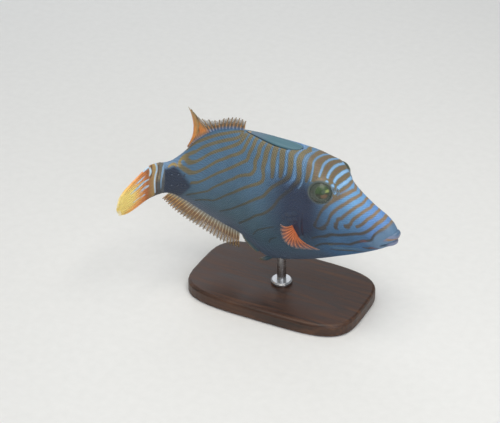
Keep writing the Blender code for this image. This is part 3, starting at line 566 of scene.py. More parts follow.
def painting(s, g):
    """The masks of the painter's tones at each place: distances to the lines, to the streaks and to
    the tail's marks, and how far the place belongs to each named part of the hide: the bright nape,
    the dark cheek, partly painted shade, the trunk's front, where the flank is low, partly painted
    shade, the snout and its plain tip, the stalk and its black blotch, the eye's surround, the far
    bank and the groove, its floor painted shade, and so on."""
    at, _ = flank(s, g)
    height = at[..., 2]
    radius, along = from_eye(at)
    radius = np.where(along > SOCKET_DEEP, radius, CLEAR_OF_EYE)
    down = np.abs(g)
    share = down / np.interp(s, TABLE_S, GIRTH)
    front = spline(BLOTCH_FRONT, down)
    blotch = fade(s, front - 1.6, front + 1.6) * fade(s, 187.5, 185.5)
    head = fade(s, 70, 42)
    rear = fade(s, 122, 156)
    return {
        "line": line_distance(s, g, radius),
        "streak": stroke_distance(STREAKS, s, g),
        "head": head,
        "nape": fade(s, 38, 50) * fade(s, 78, 64) * fade(down, 26, 12),
        "cheek": fade(s, 44, 64) * fade(s, 108, 78) * fade(down, 15, 33) * fade(down, 100, 52),
        "front": fade(s, 116, 80) * fade(s, 70, 76) * fade(down, 36, 18),
        "low": fade(share, 0.22 - 0.13 * head + 0.16 * rear, 0.75 - 0.13 * head + 0.12 * rear),
        "belly": fade(share, 0.72, 0.95) * fade(s, 36, 60),
        "snout": 0.8 * fade(s, 34, 18) * (1 - 0.85 * fade(down, 18, 27)),
        "tip": fade(s - spline(FIRST_LINE, down), 0.3, -1.6) * fade(down, 34, 28),
        "chin": fade(s, 30, 20) * fade(down, 27, 30) * fade(down, 36, 32),
        "blotch": blotch * fade(down, 3.5, 6.5) * fade(down, 37.5, 33.5),
        "stalk": fade(s, 166, 175) * fade(down, 10, 6.5),
        "tail": fade(s, 185.4, 186.4) * fade(height, -20, -18),
        "socket": fade(radius, 9.3, 8.2),
        "far_bank": on_far_bank(s, g),
        "groove": fade(down - spline(GROOVE, s), 0.5, -0.1) * fade(s, 77.8, 79.2) * fade(s, 124.5, 122),
        **tail_marks(s, height),
    }


def give(mesh, masks):
    """Stores each mask as a number per point, for the material to read."""
    for name, values in masks.items():
        layer = mesh.attributes.new(name, "FLOAT", "POINT")
        layer.data.foreach_set("value", np.asarray(values, np.float32).ravel())


UNWRAP_LEFT, UNWRAP_SCALE = 0.03, 250


def give_patches(mesh, flat):
    """Stores the unwrap of the corners, one place for each."""
    layer = mesh.uv_layers.new(name="OFBake")
    layer.data.foreach_set("uv", np.asarray(flat, np.float32).ravel())


def unwrapped(s, g):
    """The hide's own unwrap: s to the right and the girth upwards, both in one scale."""
    return np.stack([UNWRAP_LEFT + s / UNWRAP_SCALE, 0.5 + g / UNWRAP_SCALE], axis=-1)


EASE = ("ShaderNodeMapRange", {"interpolation_type": "SMOOTHSTEP"}, range(5), 0)
TIMES = ("ShaderNodeMath", {"operation": "MULTIPLY"}, (0, 1), 0)
PLUS = ("ShaderNodeMath", {"operation": "ADD"}, (0, 1), 0)
TIMES_PLUS = ("ShaderNodeMath", {"operation": "MULTIPLY_ADD"}, (0, 1, 2), 0)
SHADE = ("ShaderNodeMix", {"data_type": "RGBA", "blend_type": "MULTIPLY"}, (0, 6, 7), 2)
READ = ("ShaderNodeAttribute", {}, (), "Fac")
WHERE = ("ShaderNodeTexCoord", {}, (), "Object")
RAMP = ("ShaderNodeValToRGB", {}, (0,), 0)
BUMP = ("ShaderNodeBump", {}, ("Strength", "Distance", "Height"), 0)

MASKS = ("line", "streak", "head", "nape", "cheek", "front", "low", "belly", "snout", "tip", "chin",
         "blotch", "stalk", "tail", "socket", "far_bank", "groove", "bead_and_shade")
# The cheek's dark navy, and its dim lines, are partly the fish's own dark patch and partly painted
# shade, where the cheek behind the eye turns away from the light.
GROUND_COATS = {"nape": "#5c86aa", "snout": "#5f8cca", "chin": "#3f6a90", "cheek": "#283650",
                "belly": "#4f5d70", "far_bank": "#4f7080", "stalk": "#6d8cab", "between": "#6690bc"}
STROKE_COATS = {"nape": "#73624f", "cheek": "#2b323e", "chin": "#6e4a50", "stalk": "#a8925e"}
TAIL_TONES = ((0.0, "#6a6c68"), (0.06, "#b0945f"), (0.13, "#a87e52"), (0.18, "#b0714a"),
              (0.25, "#d58852"), (0.5, "#faab68"), (0.75, "#fcc272"), (1.0, "#efcc6a"))


def coats(tree, paint, mask, colours):
    """The paint with each colour laid over it in turn, as far as the mask of its name says."""
    for part, colour in colours.items():
        paint = add(tree, MIX, mask[part], paint, colour)
    return paint


def tail_tone(tree, grain):
    """Colour of the tail from the stalk's end to the tip: gold, then orange turning yellow in the
    middle, with the pale blue bars and streaks and the dark edges over it."""
    s, z, blue, dark = (add(tree, READ, attribute_name="tail_" + key)
                        for key in ("s", "z", "blue", "dark"))
    shade = add(tree, TIMES, add(tree, EASE, z, 2.5, -3.0), add(tree, EASE, s, 195.0, 192.0))
    yellow = add(tree, TIMES, add(tree, EASE, z, -15.0, -9.0), add(tree, EASE, z, 7.5, 1.5))
    mask = {
        "shade": shade,
        "yellow": add(tree, TIMES, yellow, add(tree, EASE, s, 202.0, 220.0)),
        "dark": add(tree, EASE, add(tree, TIMES_PLUS, grain, 0.5, dark), 0.75, -0.1),
        "blue": add(tree, EASE, add(tree, TIMES_PLUS, grain, 0.5, blue), 0.55, -0.15),
    }
    pale_blue = add(tree, MIX, add(tree, EASE, s, 189.0, 196.0), "#86a8c8", "#c6dcec")
    field = add(tree, RAMP, add(tree, EASE, s, 186.0, 238.0), stops=TAIL_TONES)
    return coats(tree, field, mask, {"shade": "#565a5c", "yellow": "#ffe890", "dark": "#5a4c44",
                                     "blue": pale_blue})


def hide_material(name):
    """Acrylic paint on cast resin under a satin lacquer: IOR 1.5, roughness 0.45. The lacquer gives
    a low broad gloss. Clouds 11 mm wide vary the tone, and grain 0.9 mm wide, drawn coarser than
    paint's own so that it shows, frays the strokes and breaks up the gloss."""
    tree, shader, made = new_material(name)
    mask = {key: add(tree, READ, attribute_name=key) for key in MASKS}
    where = add(tree, WHERE)
    cloud = add(tree, NOISE, 90.0, 3.0, where)
    grain = add(tree, NOISE, 1100.0, 3.0, where)
    wobble = add(tree, TIMES_PLUS, grain, 0.7, -0.35)
    inked = add(tree, EASE, add(tree, PLUS, mask["line"], wobble), 0.55, -0.5)
    edge = add(tree, PLUS, mask["streak"], wobble)
    streaked = add(tree, EASE, add(tree, TIMES_PLUS, mask["bead_and_shade"], -0.7, edge), 0.1, -0.6)
    halo = add(tree, EASE, edge, 0.8, 0.0, 0.0, 0.85)
    olive = add(tree, EASE, edge, 1.7, 0.9, 0.0, 0.45)
    mask["between"] = add(tree, TIMES, add(tree, EASE, mask["line"], 0.5, 1.3), mask["front"])

    # Towards the belly the low mask darkens the ground, the lines and the streaks: partly the flank's
    # own duller tone and partly painted shade of the underside, dim under the light from above.
    ground = add(tree, MIX, mask["low"], "#527592", "#3f5b6a")
    ground = add(tree, MIX, mask["head"], ground, add(tree, MIX, mask["low"], "#6fa5d5", "#3d6488"))
    ground = coats(tree, ground, mask, GROUND_COATS)
    strokes = add(tree, MIX, mask["low"], "#736c54", "#393f3b")
    strokes = add(tree, MIX, mask["head"], strokes, add(tree, MIX, mask["low"], "#8b7860", "#3f4144"))
    paint = add(tree, MIX, inked, ground, coats(tree, strokes, mask, STROKE_COATS))
    pale = add(tree, MIX, mask["low"], add(tree, MIX, mask["head"], "#6c8db0", "#93c3ec"), "#4f7088")
    beside = add(tree, MIX, mask["low"], add(tree, MIX, mask["head"], "#557899", "#6295c6"), "#3a5a78")
    paint = add(tree, MIX, olive, paint, add(tree, MIX, inked, paint, "#777348"))
    paint = add(tree, MIX, halo, paint, beside)
    paint = add(tree, MIX, streaked, paint, pale)
    # The groove's floor under the folded fin is painted dark, as painted shade.
    paint = coats(tree, paint, mask, {"tip": "#61809e", "blotch": "#2a364a",
                                      "tail": tail_tone(tree, grain),
                                      "socket": "#535c58", "groove": "#2c4048"})
    # The clouds vary the tone at random. The bead mask paints each plate a little lighter on its dome,
    # a painted highlight, and darker towards its sunk edges, painted shade.
    light = add(tree, TIMES, add(tree, EASE, cloud, 0.3, 0.7, 0.93, 1.07),
                add(tree, EASE, mask["bead_and_shade"], 0.0, 1.0, 0.965, 1.025))
    plug(shader, {
        "Base Color": add(tree, SHADE, 1.0, paint, light),
        "Roughness": add(tree, EASE, grain, 0.3, 0.7, 0.40, 0.54),
        "Normal": add(tree, BUMP, 0.3, 0.0001, grain),
        "IOR": 1.5, "Coat Weight": 0.06, "Coat Roughness": 0.3,
    })
    return made


hide_paint = hide_material("painted_resin_hide")


def spaced(*stretches):
    """Places along a line: each stretch is (start, end, spacing)."""
    parts = [np.linspace(a, b, int(round((b - a) / step)) + 1)[:-1] for a, b, step in stretches]
    return np.concatenate(parts + [[stretches[-1][1]]])


def net_faces(rows, cols, count=1, closed_round=False):
    """Four-cornered faces of nets of rows by columns, numbered one net after another."""
    index = np.arange(rows * cols).reshape(rows, cols)
    nxt = np.roll(index, -1, axis=1)
    if not closed_round:
        index, nxt = index[:, :-1], nxt[:, :-1]
    one = np.stack([index[:-1], index[1:], nxt[1:], nxt[:-1]], axis=-1).reshape(-1, 4)
    return (one[None] + rows * cols * np.arange(count)[:, None, None]).reshape(-1, 4)


POLE_PATCH = 0.01
rows_s = spaced((SNOUT, 10, 0.6), (10, 42, 1.0), (42, 70, 0.5), (70, TAIL_BASE, 1.0))
inner = spaced((0, 6, 0.6), (6, 12, 0.8), (12, 36, 0.5), (36, 110, 1.15)) / 110
shares = np.concatenate([-inner[:0:-1], inner])[1:]
hide_s, hide_share = np.meshgrid(rows_s, shares, indexing="ij")
full_girth = np.interp(hide_s, TABLE_S, GIRTH)
hide_g = hide_share * full_girth
rows, cols = hide_s.shape
first, last = np.arange(cols), (rows - 1) * cols + np.arange(cols)
snout_cap = np.stack([first, np.roll(first, -1), np.full(cols, rows * cols)], axis=1)
tail_cap = np.stack([np.roll(last, -1), last, np.full(cols, rows * cols + 1)], axis=1)
poles = place(np.array([SNOUT - 0.8, TAIL_BASE + 0.6]), 0.0, np.array([-0.7, -1.0]))
hide_points = np.concatenate([on_hide(hide_s, hide_g).reshape(-1, 3), poles])
hide_mesh = plain_mesh("skin", hide_points, [net_faces(rows, cols, 1, True), snout_cap, tail_cap])
hide_masks = painting(hide_s.ravel(), hide_g.ravel())
ends = painting(np.array([SNOUT, TAIL_BASE]), np.array([0.1, 0.1]))
give(hide_mesh, {key: np.concatenate([values, ends[key]]) for key, values in hide_masks.items()})
give(hide_mesh, {"bead_and_shade": np.full(len(hide_points), 0.5)})
next_g = np.concatenate([hide_g[:, 1:], full_girth[:, :1]], axis=1)
corner_s = np.stack([hide_s[:-1], hide_s[1:], hide_s[1:], hide_s[:-1]], axis=-1)
corner_g = np.stack([hide_g[:-1], hide_g[1:], next_g[1:], next_g[:-1]], axis=-1)
middle_g = np.zeros(cols)
front_g = np.stack([hide_g[0], next_g[0], middle_g], axis=1)
back_g = np.stack([next_g[-1], hide_g[-1], middle_g], axis=1)
flat = [unwrapped(corner_s, corner_g), unwrapped(SNOUT + 0 * front_g, front_g),
        unwrapped(TAIL_BASE + 0 * back_g, back_g)]
flat[1][:, 2, 0] -= POLE_PATCH
flat[2][:, 2, 0] += POLE_PATCH
give_patches(hide_mesh, np.concatenate([part.reshape(-1, 2) for part in flat]))
show(hide_mesh, hide_paint, "skin", "head", "trunk", "peduncle")


# The scales: hard rhombic plates of bone set edge to edge in slanting rows, each cast with a
# slightly domed face and sunk edges, and painted with the hide.
PLATE_STEPS = np.array([-1, -0.8, 0, 0.8, 1])
PLATE_BORDER = -0.2
PATCH = 0.0028


def hide_bare(s, g):
    """True where there are no plates: round the eyes, on the lips, in the groove and the gill
    slit, at the roots of the fins and on the keel of the belly."""
    at, _ = flank(s, g)
    z = at[..., 2]
    down = np.abs(g)
    half_girth = np.interp(s, TABLE_S, GIRTH)
    radius, along = from_eye(at)
    at_eye = (radius < 10.6) & (along > SOCKET_DEEP)
    at_groove = (down < spline(GROOVE, s) + 1.2) & (s > 77) & (s < 125.5)
    at_gill = (np.abs(s - gill_line(z)) < 1.7) & (np.abs(z - GILL_MIDDLE) < 12.5) & (down > BELOW_BROW)
    at_lips = (s < 8) | ((s < 15.5) & (z < 3) & (z > -12))
    at_dorsal_fin = (down < 2.0) & (s > 124) & (s < 169)
    at_anal_fin = (down > half_girth - 2.0) & (s > 123)
    at_pectoral_fin = ((s - 73.4) / 3.6) ** 2 + ((z + 11.4) / 5.6) ** 2 < 1
    at_keel = down > half_girth - 1.0
    return (at_eye | at_groove | at_gill | at_lips | at_dorsal_fin | at_anal_fin | at_pectoral_fin
            | at_keel)


def plates(name, start, end, pitch, girth_low, girth_high, lift):
    """Rhombic plates on a lattice of (s, g): each is a 5 by 5 net between its four corners, with
    the border sunk, a bevel and a low dome, closed below by one face."""
    line = np.arange(int(np.ceil(girth_low / (pitch / 2))), int(girth_high / (pitch / 2)) + 1)
    column, line = np.meshgrid(np.arange(int((end - start) / pitch) + 1), line, indexing="ij")
    mid_s = (start + column * pitch + (line % 2) * pitch / 2).ravel()
    mid_g = (line * pitch / 2).ravel()
    kept = (mid_s > start) & (mid_s < np.minimum(end, TAIL_BASE - 0.7 * pitch))
    kept &= ~hide_bare(mid_s, mid_g)
    mid_s, mid_g = mid_s[kept], mid_g[kept]
    a, b = np.meshgrid(PLATE_STEPS, PLATE_STEPS, indexing="ij")
    a, b = (a * (1 - 0.10 * b * b)).ravel(), (b * (1 - 0.10 * a * a)).ravel()
    local_s = (a + b) * pitch / 4 * 0.97
    local_g = (a - b) * pitch / 4 * 0.97
    middle = (1 - a * a) * (1 - b * b)
    border = np.maximum(np.abs(a), np.abs(b)) > 0.88
    height = np.where(border, PLATE_BORDER, lift * (0.45 + 0.55 * middle))
    s = mid_s[:, None] + local_s
    g = mid_g[:, None] + local_g
    index = np.arange(25).reshape(5, 5)
    rim = np.concatenate([index[0, :], index[1:, -1], index[-1, -2::-1], index[-2:0:-1, 0]])
    count = len(mid_s)
    top = net_faces(5, 5, count)[:, ::-1]
    under = (rim[None, :] + 25 * np.arange(count)[:, None])[:, ::-1]
    mesh = plain_mesh(name, on_hide(s, g, height[None, :] + 0 * s), [top, under])
    give(mesh, painting(s.ravel(), g.ravel()))
    # Bead mask, high in a plate's middle: it beads the streaks, and the material paints a highlight on
    # each dome and shade at the edges with it.
    give(mesh, {"bead_and_shade": np.tile(0.15 + 0.85 * middle, count)})
    patch = PATCH * np.stack([local_s, local_g], axis=-1) / pitch
    own = (unwrapped(mid_s, mid_g)[:, None] + patch).reshape(-1, 2)
    give_patches(mesh, own[np.concatenate([top.ravel(), under.ravel()])])
    return mesh


scale_paint = hide_material("painted_resin_scales")
HEAD_SCALES, TRUNK_SCALES = (7.0, 70.0, 1.7), (70.0, 190.0, 2.3)
show(plates("scales_head_right", *HEAD_SCALES, 0.1, 120, 0.10), scale_paint, "skin")
show(plates("scales_head_left", *HEAD_SCALES, -120, -0.1, 0.10), scale_paint, "skin")
show(plates("scales_right", *TRUNK_SCALES, 0.1, 120, 0.12), scale_paint, "skin")
show(plates("scales_left", *TRUNK_SCALES, -120, -0.1, 0.12), scale_paint, "skin")


# The bony scutes behind each gill slit: five low plates of rough bone, set in the skin where the
# trunk begins and cast with it, with painted shade darkening their pits.
SCUTES = ((74.0, 4.5, 2.4), (78.4, 2.0, 2.6), (73.2, -0.6, 2.1), (77.4, -3.0, 2.5), (82.0, -1.8, 2.0))


def girth_at(s, z):
    """Girth g of the flank's point at s and height z, from the table's row for that s."""
    row = int(round((s - SNOUT) / (TAIL_BASE - SNOUT) * (len(TABLE_S) - 1)))
    return float(np.interp(-z, -TABLE_Z[row], TABLE_SHARE) * GIRTH[row])


def rings(along, columns):
    """Two grids: the place along a piece, one for each row, and the angle round it by column."""
    return np.meshgrid(along, np.arange(columns) * 2 * np.pi / columns, indexing="ij")


def closed_nets(name, points, other_way=False):
    """Mesh of nets of rows and columns that close round and have one face on each end row; the
    faces are turned to the other side where the columns run the other way round."""
    points = points.reshape(-1, *points.shape[-3:])
    count, rows, cols = points.shape[:3]
    shift = rows * cols * np.arange(count)[:, None]
    first = np.arange(cols)[None, :] + shift
    last = (rows - 1) * cols + np.arange(cols)[None, ::-1] + shift
    faces = [net_faces(rows, cols, count, True), first, last]
    return plain_mesh(name, points, [part[:, ::-1] for part in faces] if other_way else faces)


def on_both_flanks(name, places, shape, other_way=False):
    """The same small nets on the right flank and, mirrored, on the left: the shape gives s, girth
    and lift from a place's values."""
    right = [shape(*at) for at in places]
    nets = [on_hide(s, g, lift)[:, ::-1] for s, g, lift in right]
    nets += [on_hide(s, -g, lift) for s, g, lift in right]
    return closed_nets(name, np.array(nets), other_way)


def scute(s, z, radius):
    """A dome over a five-sided outline: its height falls with the square of the way out, and
    radial ridges run over it."""
    way, turn = rings(np.linspace(0.04, 1, 12), 40)
    reach = radius * way * (1 + 0.05 * np.cos(5 * turn))
    height = 0.4 * (1 - way**2) + 0.05 * np.cos(14 * turn) * way * (1 - way) * 4
    height = np.where(way > 0.95, -0.35, height + 0.05)
    return s + reach * np.cos(turn), girth_at(s, z) + reach * np.sin(turn), height


# Resin painted slate blue, pitted like bone every 0.6 mm and darker in the pits, as painted
# shade, so that it is dull and unevenly lit.
PITS = ("ShaderNodeTexVoronoi", {}, ("Scale", "Vector"), "Distance")
tree, shader, scute_paint = new_material("painted_resin_bone")
pits = add(tree, PITS, 1600.0, add(tree, WHERE))
plug(shader, {"Base Color": add(tree, MIX, pits, "#27334a", "#35445a"), "Roughness": 0.45,
              "Normal": add(tree, BUMP, 0.5, 0.00012, pits)})
show(on_both_flanks("scutes", SCUTES, scute, True), scute_paint, "skin")


# The spines of the tail stalk: two rows of three small thorns on each side, of hard bone, each
# with its point bent forwards and its foot sunk in the hide.
STALK_SPINES = [(s, z) for s in (169.5, 175, 180.5) for z in (3.2, -5.6)]
THORN_UP, THORN_TURN = rings(np.linspace(-0.25, 1, 14), 16)


def thorn(s, z):
    """A cone: the ring's radius shrinks with the height, and its middle moves forwards with the
    square of the height."""
    up, turn = THORN_UP, THORN_TURN
    radius = 0.75 * (1 - np.clip(up, 0, 0.985)) ** 0.8 * (1 + 0.5 * fade(up, 0.1, -0.25))
    forwards = 1.5 * np.clip(up, 0, 1) ** 2
    return s - forwards + radius * np.cos(turn), girth_at(s, z) + radius * np.sin(turn), 1.3 * up


# Resin painted blue-black under satin lacquer, with a painted highlight paler towards each
# point, where it would catch the light.
thorn_mesh = on_both_flanks("stalk_spines", STALK_SPINES, thorn)
give(thorn_mesh, {"up": np.broadcast_to(THORN_UP, (12, 14, 16))})
tree, shader, thorn_paint = new_material("painted_resin_thorn")
horn = add(tree, MIX, add(tree, NOISE, 1500.0, 2.0, add(tree, WHERE)), "#2a3448", "#3c475a")
point = add(tree, EASE, add(tree, READ, attribute_name="up"), 0.3, 0.9)
plug(shader, {"Base Color": add(tree, MIX, point, horn, "#6f7c8e"), "Roughness": 0.35})
show(thorn_mesh, thorn_paint, "tail_stalk_skin")


# The eyes: glass balls set in the sockets, swollen over the iris, which is painted from behind:
# green above as a painted reflection, with a painted highlight in the notch ahead, brown below,
# in an olive surround.
EYE_ACROSS, EYE_DEEP = 8.2, 6.9
GAZE_FORWARD, GAZE_UP = 2.5, 1.9


def eye_axes(side):
    """Three directions in body coordinates: out of the flank, along it backwards, and up it."""
    out = EYE_FACES * np.array([1, side, 1])
    along = unit(np.array([1.0, 0, 0]) - out[0] * out)
    return out, along, np.cross(out, along) * side * -1


def ball_points(side, radius_from_gaze, turn, grow):
    """Points of the lens-shaped ball: a direction this far round from the gaze, scaled to the
    ellipsoid and then by the growth."""
    out, along, up = eye_axes(side)
    gaze = unit(out * EYE_DEEP - along * GAZE_FORWARD + up * GAZE_UP)
    across = unit(along - gaze * (along @ gaze))
    above = np.cross(gaze, across) * side * -1
    way = np.cos(radius_from_gaze)[..., None] * gaze + np.sin(radius_from_gaze)[..., None] * (
        np.cos(turn)[..., None] * across + np.sin(turn)[..., None] * above)
    deep = way @ out
    length = 1 / np.sqrt((deep / EYE_DEEP) ** 2 + (1 - deep**2) / EYE_ACROSS**2)
    at = way * (length * (1 + grow))[..., None]
    centre = EYE * np.array([1, side, 1])
    return place(*(centre + at).transpose(2, 0, 1)), at @ up, at @ along, length * radius_from_gaze


def eye_mesh(name, side):
    """The ball, swollen over the iris as a cornea is, with the masks that its painter needs: how far
    each place is from the gaze, and where the green painted reflection, the bright painted
    highlight and the brown part of the iris lie."""
    bend = np.concatenate([np.linspace(0.012, 1.0, 60), np.linspace(1.05, np.pi - 0.05, 30)])
    bend, turn = rings(bend, 96)
    swell = 0.05 * ridge(bend, 0, 0.7) - 0.005 * ridge(bend, 0.78, 0.1)
    points, up, along, away = ball_points(side, bend, turn, swell)
    ball = closed_nets(name, points, side < 0)
    ahead, above = -along - GAZE_FORWARD, up - GAZE_UP
    tilted = above - 0.27 * ahead + 0.2
    give(ball, {
        "away": away,
        "green": fade(tilted, -1.6, 0.4),
        "notch_highlight": fade(ahead, 0.9, 2.8) * fade(ahead, 5.4, 4.5) * fade(np.abs(tilted - 0.7), 1.5, 0.5),
        "brown": fade(np.hypot(ahead - 1.5, 1.2 * (above + 2.6)), 3.0, 1.2),
        "under": fade(ahead + 0.8 * above, 0.5, -3.0),
        "turn": np.sin(turn * 24),
    })
    return ball


# Glass painted from behind: a clear coat over dark paint flecked every 1.2 mm, which gives small
# soft reflections over a deep tone.
tree, shader, glass_eye = new_material("painted_glass_eye")
mask = {key: add(tree, READ, attribute_name=key)
        for key in ("away", "green", "notch_highlight", "brown", "under", "turn")}
fleck = add(tree, NOISE, 800.0, 4.0, add(tree, WHERE))
edge = add(tree, TIMES_PLUS, fleck, 0.8, mask["away"])
mask["centre"] = add(tree, EASE, mask["away"], 2.3, 1.2)
crest = add(tree, TIMES, add(tree, EASE, edge, 5.3, 5.7), add(tree, EASE, edge, 6.3, 5.9))
# Painted reflection: the green over the upper half; painted highlight: the bright notch ahead.
iris = add(tree, MIX, mask["green"], "#3d4136", "#43563b")
iris = coats(tree, iris, mask, {"brown": "#6e5845", "notch_highlight": "#93a062", "centre": "#394c34"})
surround = add(tree, MIX, mask["under"], "#444c43", "#4a524a")
eye_tone = add(tree, MIX, add(tree, EASE, edge, 4.9, 6.6), iris, surround)
eye_tone = add(tree, MIX, add(tree, TIMES, crest, mask["under"]), eye_tone, "#566053")
veins = add(tree, TIMES_PLUS, mask["turn"], 0.06, fleck)
eye_tone = add(tree, SHADE, 1.0, eye_tone, add(tree, EASE, veins, 0.3, 0.7, 0.86, 1.12))
plug(shader, {"Base Color": eye_tone, "Roughness": 0.3, "Specular IOR Level": 0.3,
              "Coat Weight": 0.13, "Coat Roughness": 0.08})
for name, side in (("eye_left", 1), ("eye_right", -1)):
    show(eye_mesh(name + "_ball", side), glass_eye, "eye", name)


# The lips and nostrils: soft flesh rolled round the small mouth, cast in resin, with fine upright
# wrinkles, and two little tubes before each eye.
LIP_TURN = np.radians(100)
UPPER_LIP = {"front": 1.8, "reach": 8.5, "half_width": 6.0, "height": 0.4, "drop": 4.0, "out": 2.2,
             "up": 3.0}
LOWER_LIP = {"front": 2.6, "reach": 8.0, "half_width": 5.3, "height": -5.6, "drop": 3.0, "out": 1.9,
             "up": 2.0}
LIP_GAP = 0.985


def lip_mesh(name, sizes):
    """A tapering roll carried round the mouth: an ellipse across an arc that bends back and down,
    with cosine wrinkles round it."""
    turn, around = rings(np.linspace(-LIP_TURN, LIP_TURN, 121), 28)
    away = 1 - np.cos(turn)
    path = np.stack([sizes["front"] + sizes["reach"] * away, sizes["half_width"] * np.sin(turn),
                     sizes["height"] - sizes["drop"] * away], axis=-1)
    ahead = unit(np.gradient(path, axis=0))
    side = unit(np.cross(ahead, [0, 0, 1.0]))
    rise = np.cross(side, ahead)
    taper = 1 - 0.5 * fade(np.abs(turn), 0, LIP_TURN)
    wrinkle = 1 + 0.018 * np.cos(turn * 46) * fade(np.abs(np.cos(around)), 0.2, 0.9)
    wide = sizes["out"] * taper * wrinkle * LIP_GAP
    tall = sizes["up"] * taper * LIP_GAP
    at = path + side * (wide * np.cos(around))[..., None] + rise * (tall * np.sin(around))[..., None]
    mesh = closed_nets(name, place(*np.moveaxis(at, -1, 0)), True)
    give(mesh, {"height": at[..., 2], "back": at[..., 0]})
    return mesh


# Resin painted mauve grey in clouds 3 mm wide, with the orange streak of the real lip, and painted
# shade dark in the mouth's corners; soft satin lacquer, so that only a broad faint gloss runs
# along the roll.
tree, shader, lip_flesh = new_material("painted_resin_lip")
blush = add(tree, NOISE, 350.0, 4.0, add(tree, WHERE))
height, back = (add(tree, READ, attribute_name=key) for key in ("height", "back"))
streak = add(tree, TIMES, add(tree, EASE, height, -0.5, -1.1), add(tree, EASE, height, -3.4, -2.6))
mask = {
    "top": add(tree, EASE, height, 0.4, 2.2),
    # Painted shade dark in the mouth's corners, low on the lips' rear ends.
    "corner": add(tree, TIMES, add(tree, EASE, back, 4.5, 8.0), add(tree, EASE, height, -3.2, -4.6)),
    "streak": add(tree, TIMES, streak, add(tree, EASE, back, 9.0, 5.0)),
}
flesh = add(tree, MIX, blush, "#6c7f9c", "#8a8aa2")
flesh = coats(tree, flesh, mask, {"top": "#5a7592", "corner": "#3a5166", "streak": "#977a60"})
plug(shader, {"Base Color": flesh, "Roughness": 0.42, "Normal": add(tree, BUMP, 0.3, 0.0002, blush)})
show(lip_mesh("upper_lip_roll", UPPER_LIP), lip_flesh, "lips", "upper_lip")
show(lip_mesh("lower_lip_roll", LOWER_LIP), lip_flesh, "lips", "lower_lip")

NOSTRILS = ((45.0, 29.0), (47.6, 30.2))
NOSTRIL_WAY, NOSTRIL_TURN = rings(np.linspace(0.03, 1.6, 12), 28)


def nostril(s, z):
    """A small ring round a pit: its height is a bump over the way out, and below zero inside."""
    way, turn = NOSTRIL_WAY, NOSTRIL_TURN
    height = 0.42 * ridge(way, 0.95, 0.26) - 0.25 * fade(way, 0.7, 0.3)
    height = np.where(way > 1.5, -0.2, height)
    return s + way * np.cos(turn), girth_at(s, z) + way * np.sin(turn), height + 0.05


# Resin painted grey-blue, dark inside the pit as painted shade, with the hide's satin lacquer.
nostrils = on_both_flanks("nostrils", NOSTRILS, nostril, True)
give(nostrils, {"away": np.broadcast_to(NOSTRIL_WAY, (4, 12, 28))})
tree, shader, nostril_flesh = new_material("painted_resin_nostril")
pit = add(tree, EASE, add(tree, READ, attribute_name="away"), 0.4, 0.8)
plug(shader, {"Base Color": add(tree, MIX, pit, "#39424c", "#6c8294"), "Roughness": 0.45})
show(nostrils, nostril_flesh, "skin")


# The folded first dorsal fin: three spines laid back in their groove under a grey-green fold of
# skin that closes the groove almost level with the back.
def folded_mesh(name):
    """A flat roll along the groove: its crown follows the back just below it, with three long low
    ridges where the spines lie and edges that turn down, over a plain underside."""
    s, around = rings(np.linspace(79.2, 123.2, 130), 64)
    half = np.maximum(spline(GROOVE, s) - 0.1, 0.15)
    across = np.sign(np.cos(around)) * np.abs(np.cos(around)) ** 0.75
    at, out = flank(s, half * across)
    ridges = sum(ridge(across, lane, 0.16) for lane in (-0.5, 0.05, 0.55))
    crown = -0.25 + 0.16 * ridges * fade(half, 0.8, 3) - 0.75 * fade(np.abs(across), 0.82, 1.0)
    lift = np.where(np.sin(around) > 0.04, crown, -2.4 + 0.8 * np.abs(across) ** 3)
    lift = np.where(np.abs(np.sin(around)) <= 0.04, -1.3, lift)
    moved = at + out * lift[..., None]
    mesh = closed_nets(name, place(*np.moveaxis(moved, -1, 0)), True)
    give(mesh, {"along": s, "across": across, "edge": half * (1 - np.abs(across))})
    return mesh


# Resin painted grey-green, streaked 1.7 mm wide along the fin like damp folded skin, with painted
# shade dark where it meets the groove and pale on its near edge; satin, so that it looks softer
# than the plates.
STRETCH = ("ShaderNodeMapping", {}, ("Vector", "Scale"), 0)
tree, shader, folded_skin = new_material("painted_resin_folded_fin")
along, across, border = (add(tree, READ, attribute_name=key) for key in ("along", "across", "edge"))
stretched = add(tree, STRETCH, add(tree, WHERE), (60.0, 600.0, 200.0))
streaks = add(tree, NOISE, 1.0, 4.0, stretched)
mask = {
    "front": add(tree, EASE, along, 100.0, 116.0),
    "end": add(tree, EASE, along, 118.5, 120.5),
    "near_edge": add(tree, EASE, across, -0.35, -0.9),
    # Painted shade: dark along the fold's edges, where it meets the groove.
    "border": add(tree, EASE, border, 0.5, 0.05),
}
fold = add(tree, MIX, streaks, "#436874", "#557b89")
fold = coats(tree, fold, mask, {"front": "#5d7386", "end": "#a08a6c", "near_edge": "#6b8e9c",
                                "border": "#314249"})
plug(shader, {"Base Color": fold, "Roughness": 0.5, "Normal": add(tree, BUMP, 0.4, 0.0003, streaks)})
show(folded_mesh("folded_dorsal_fin"), folded_skin, "folded_fin", "first_dorsal_fin")


# The soft fins: tapering rays of jointed bone, split towards their tips, carried by thin skin.
# Rays are cast in tinted resin and the skin between them is sheer film, tinted from the root out.
PLACES = np.linspace(0, 1, 161)
OUT = np.linspace(0, 1, 64)
ROD_SIDES = 8
FILM_COLUMNS = 8
FILM_ROWS = 40


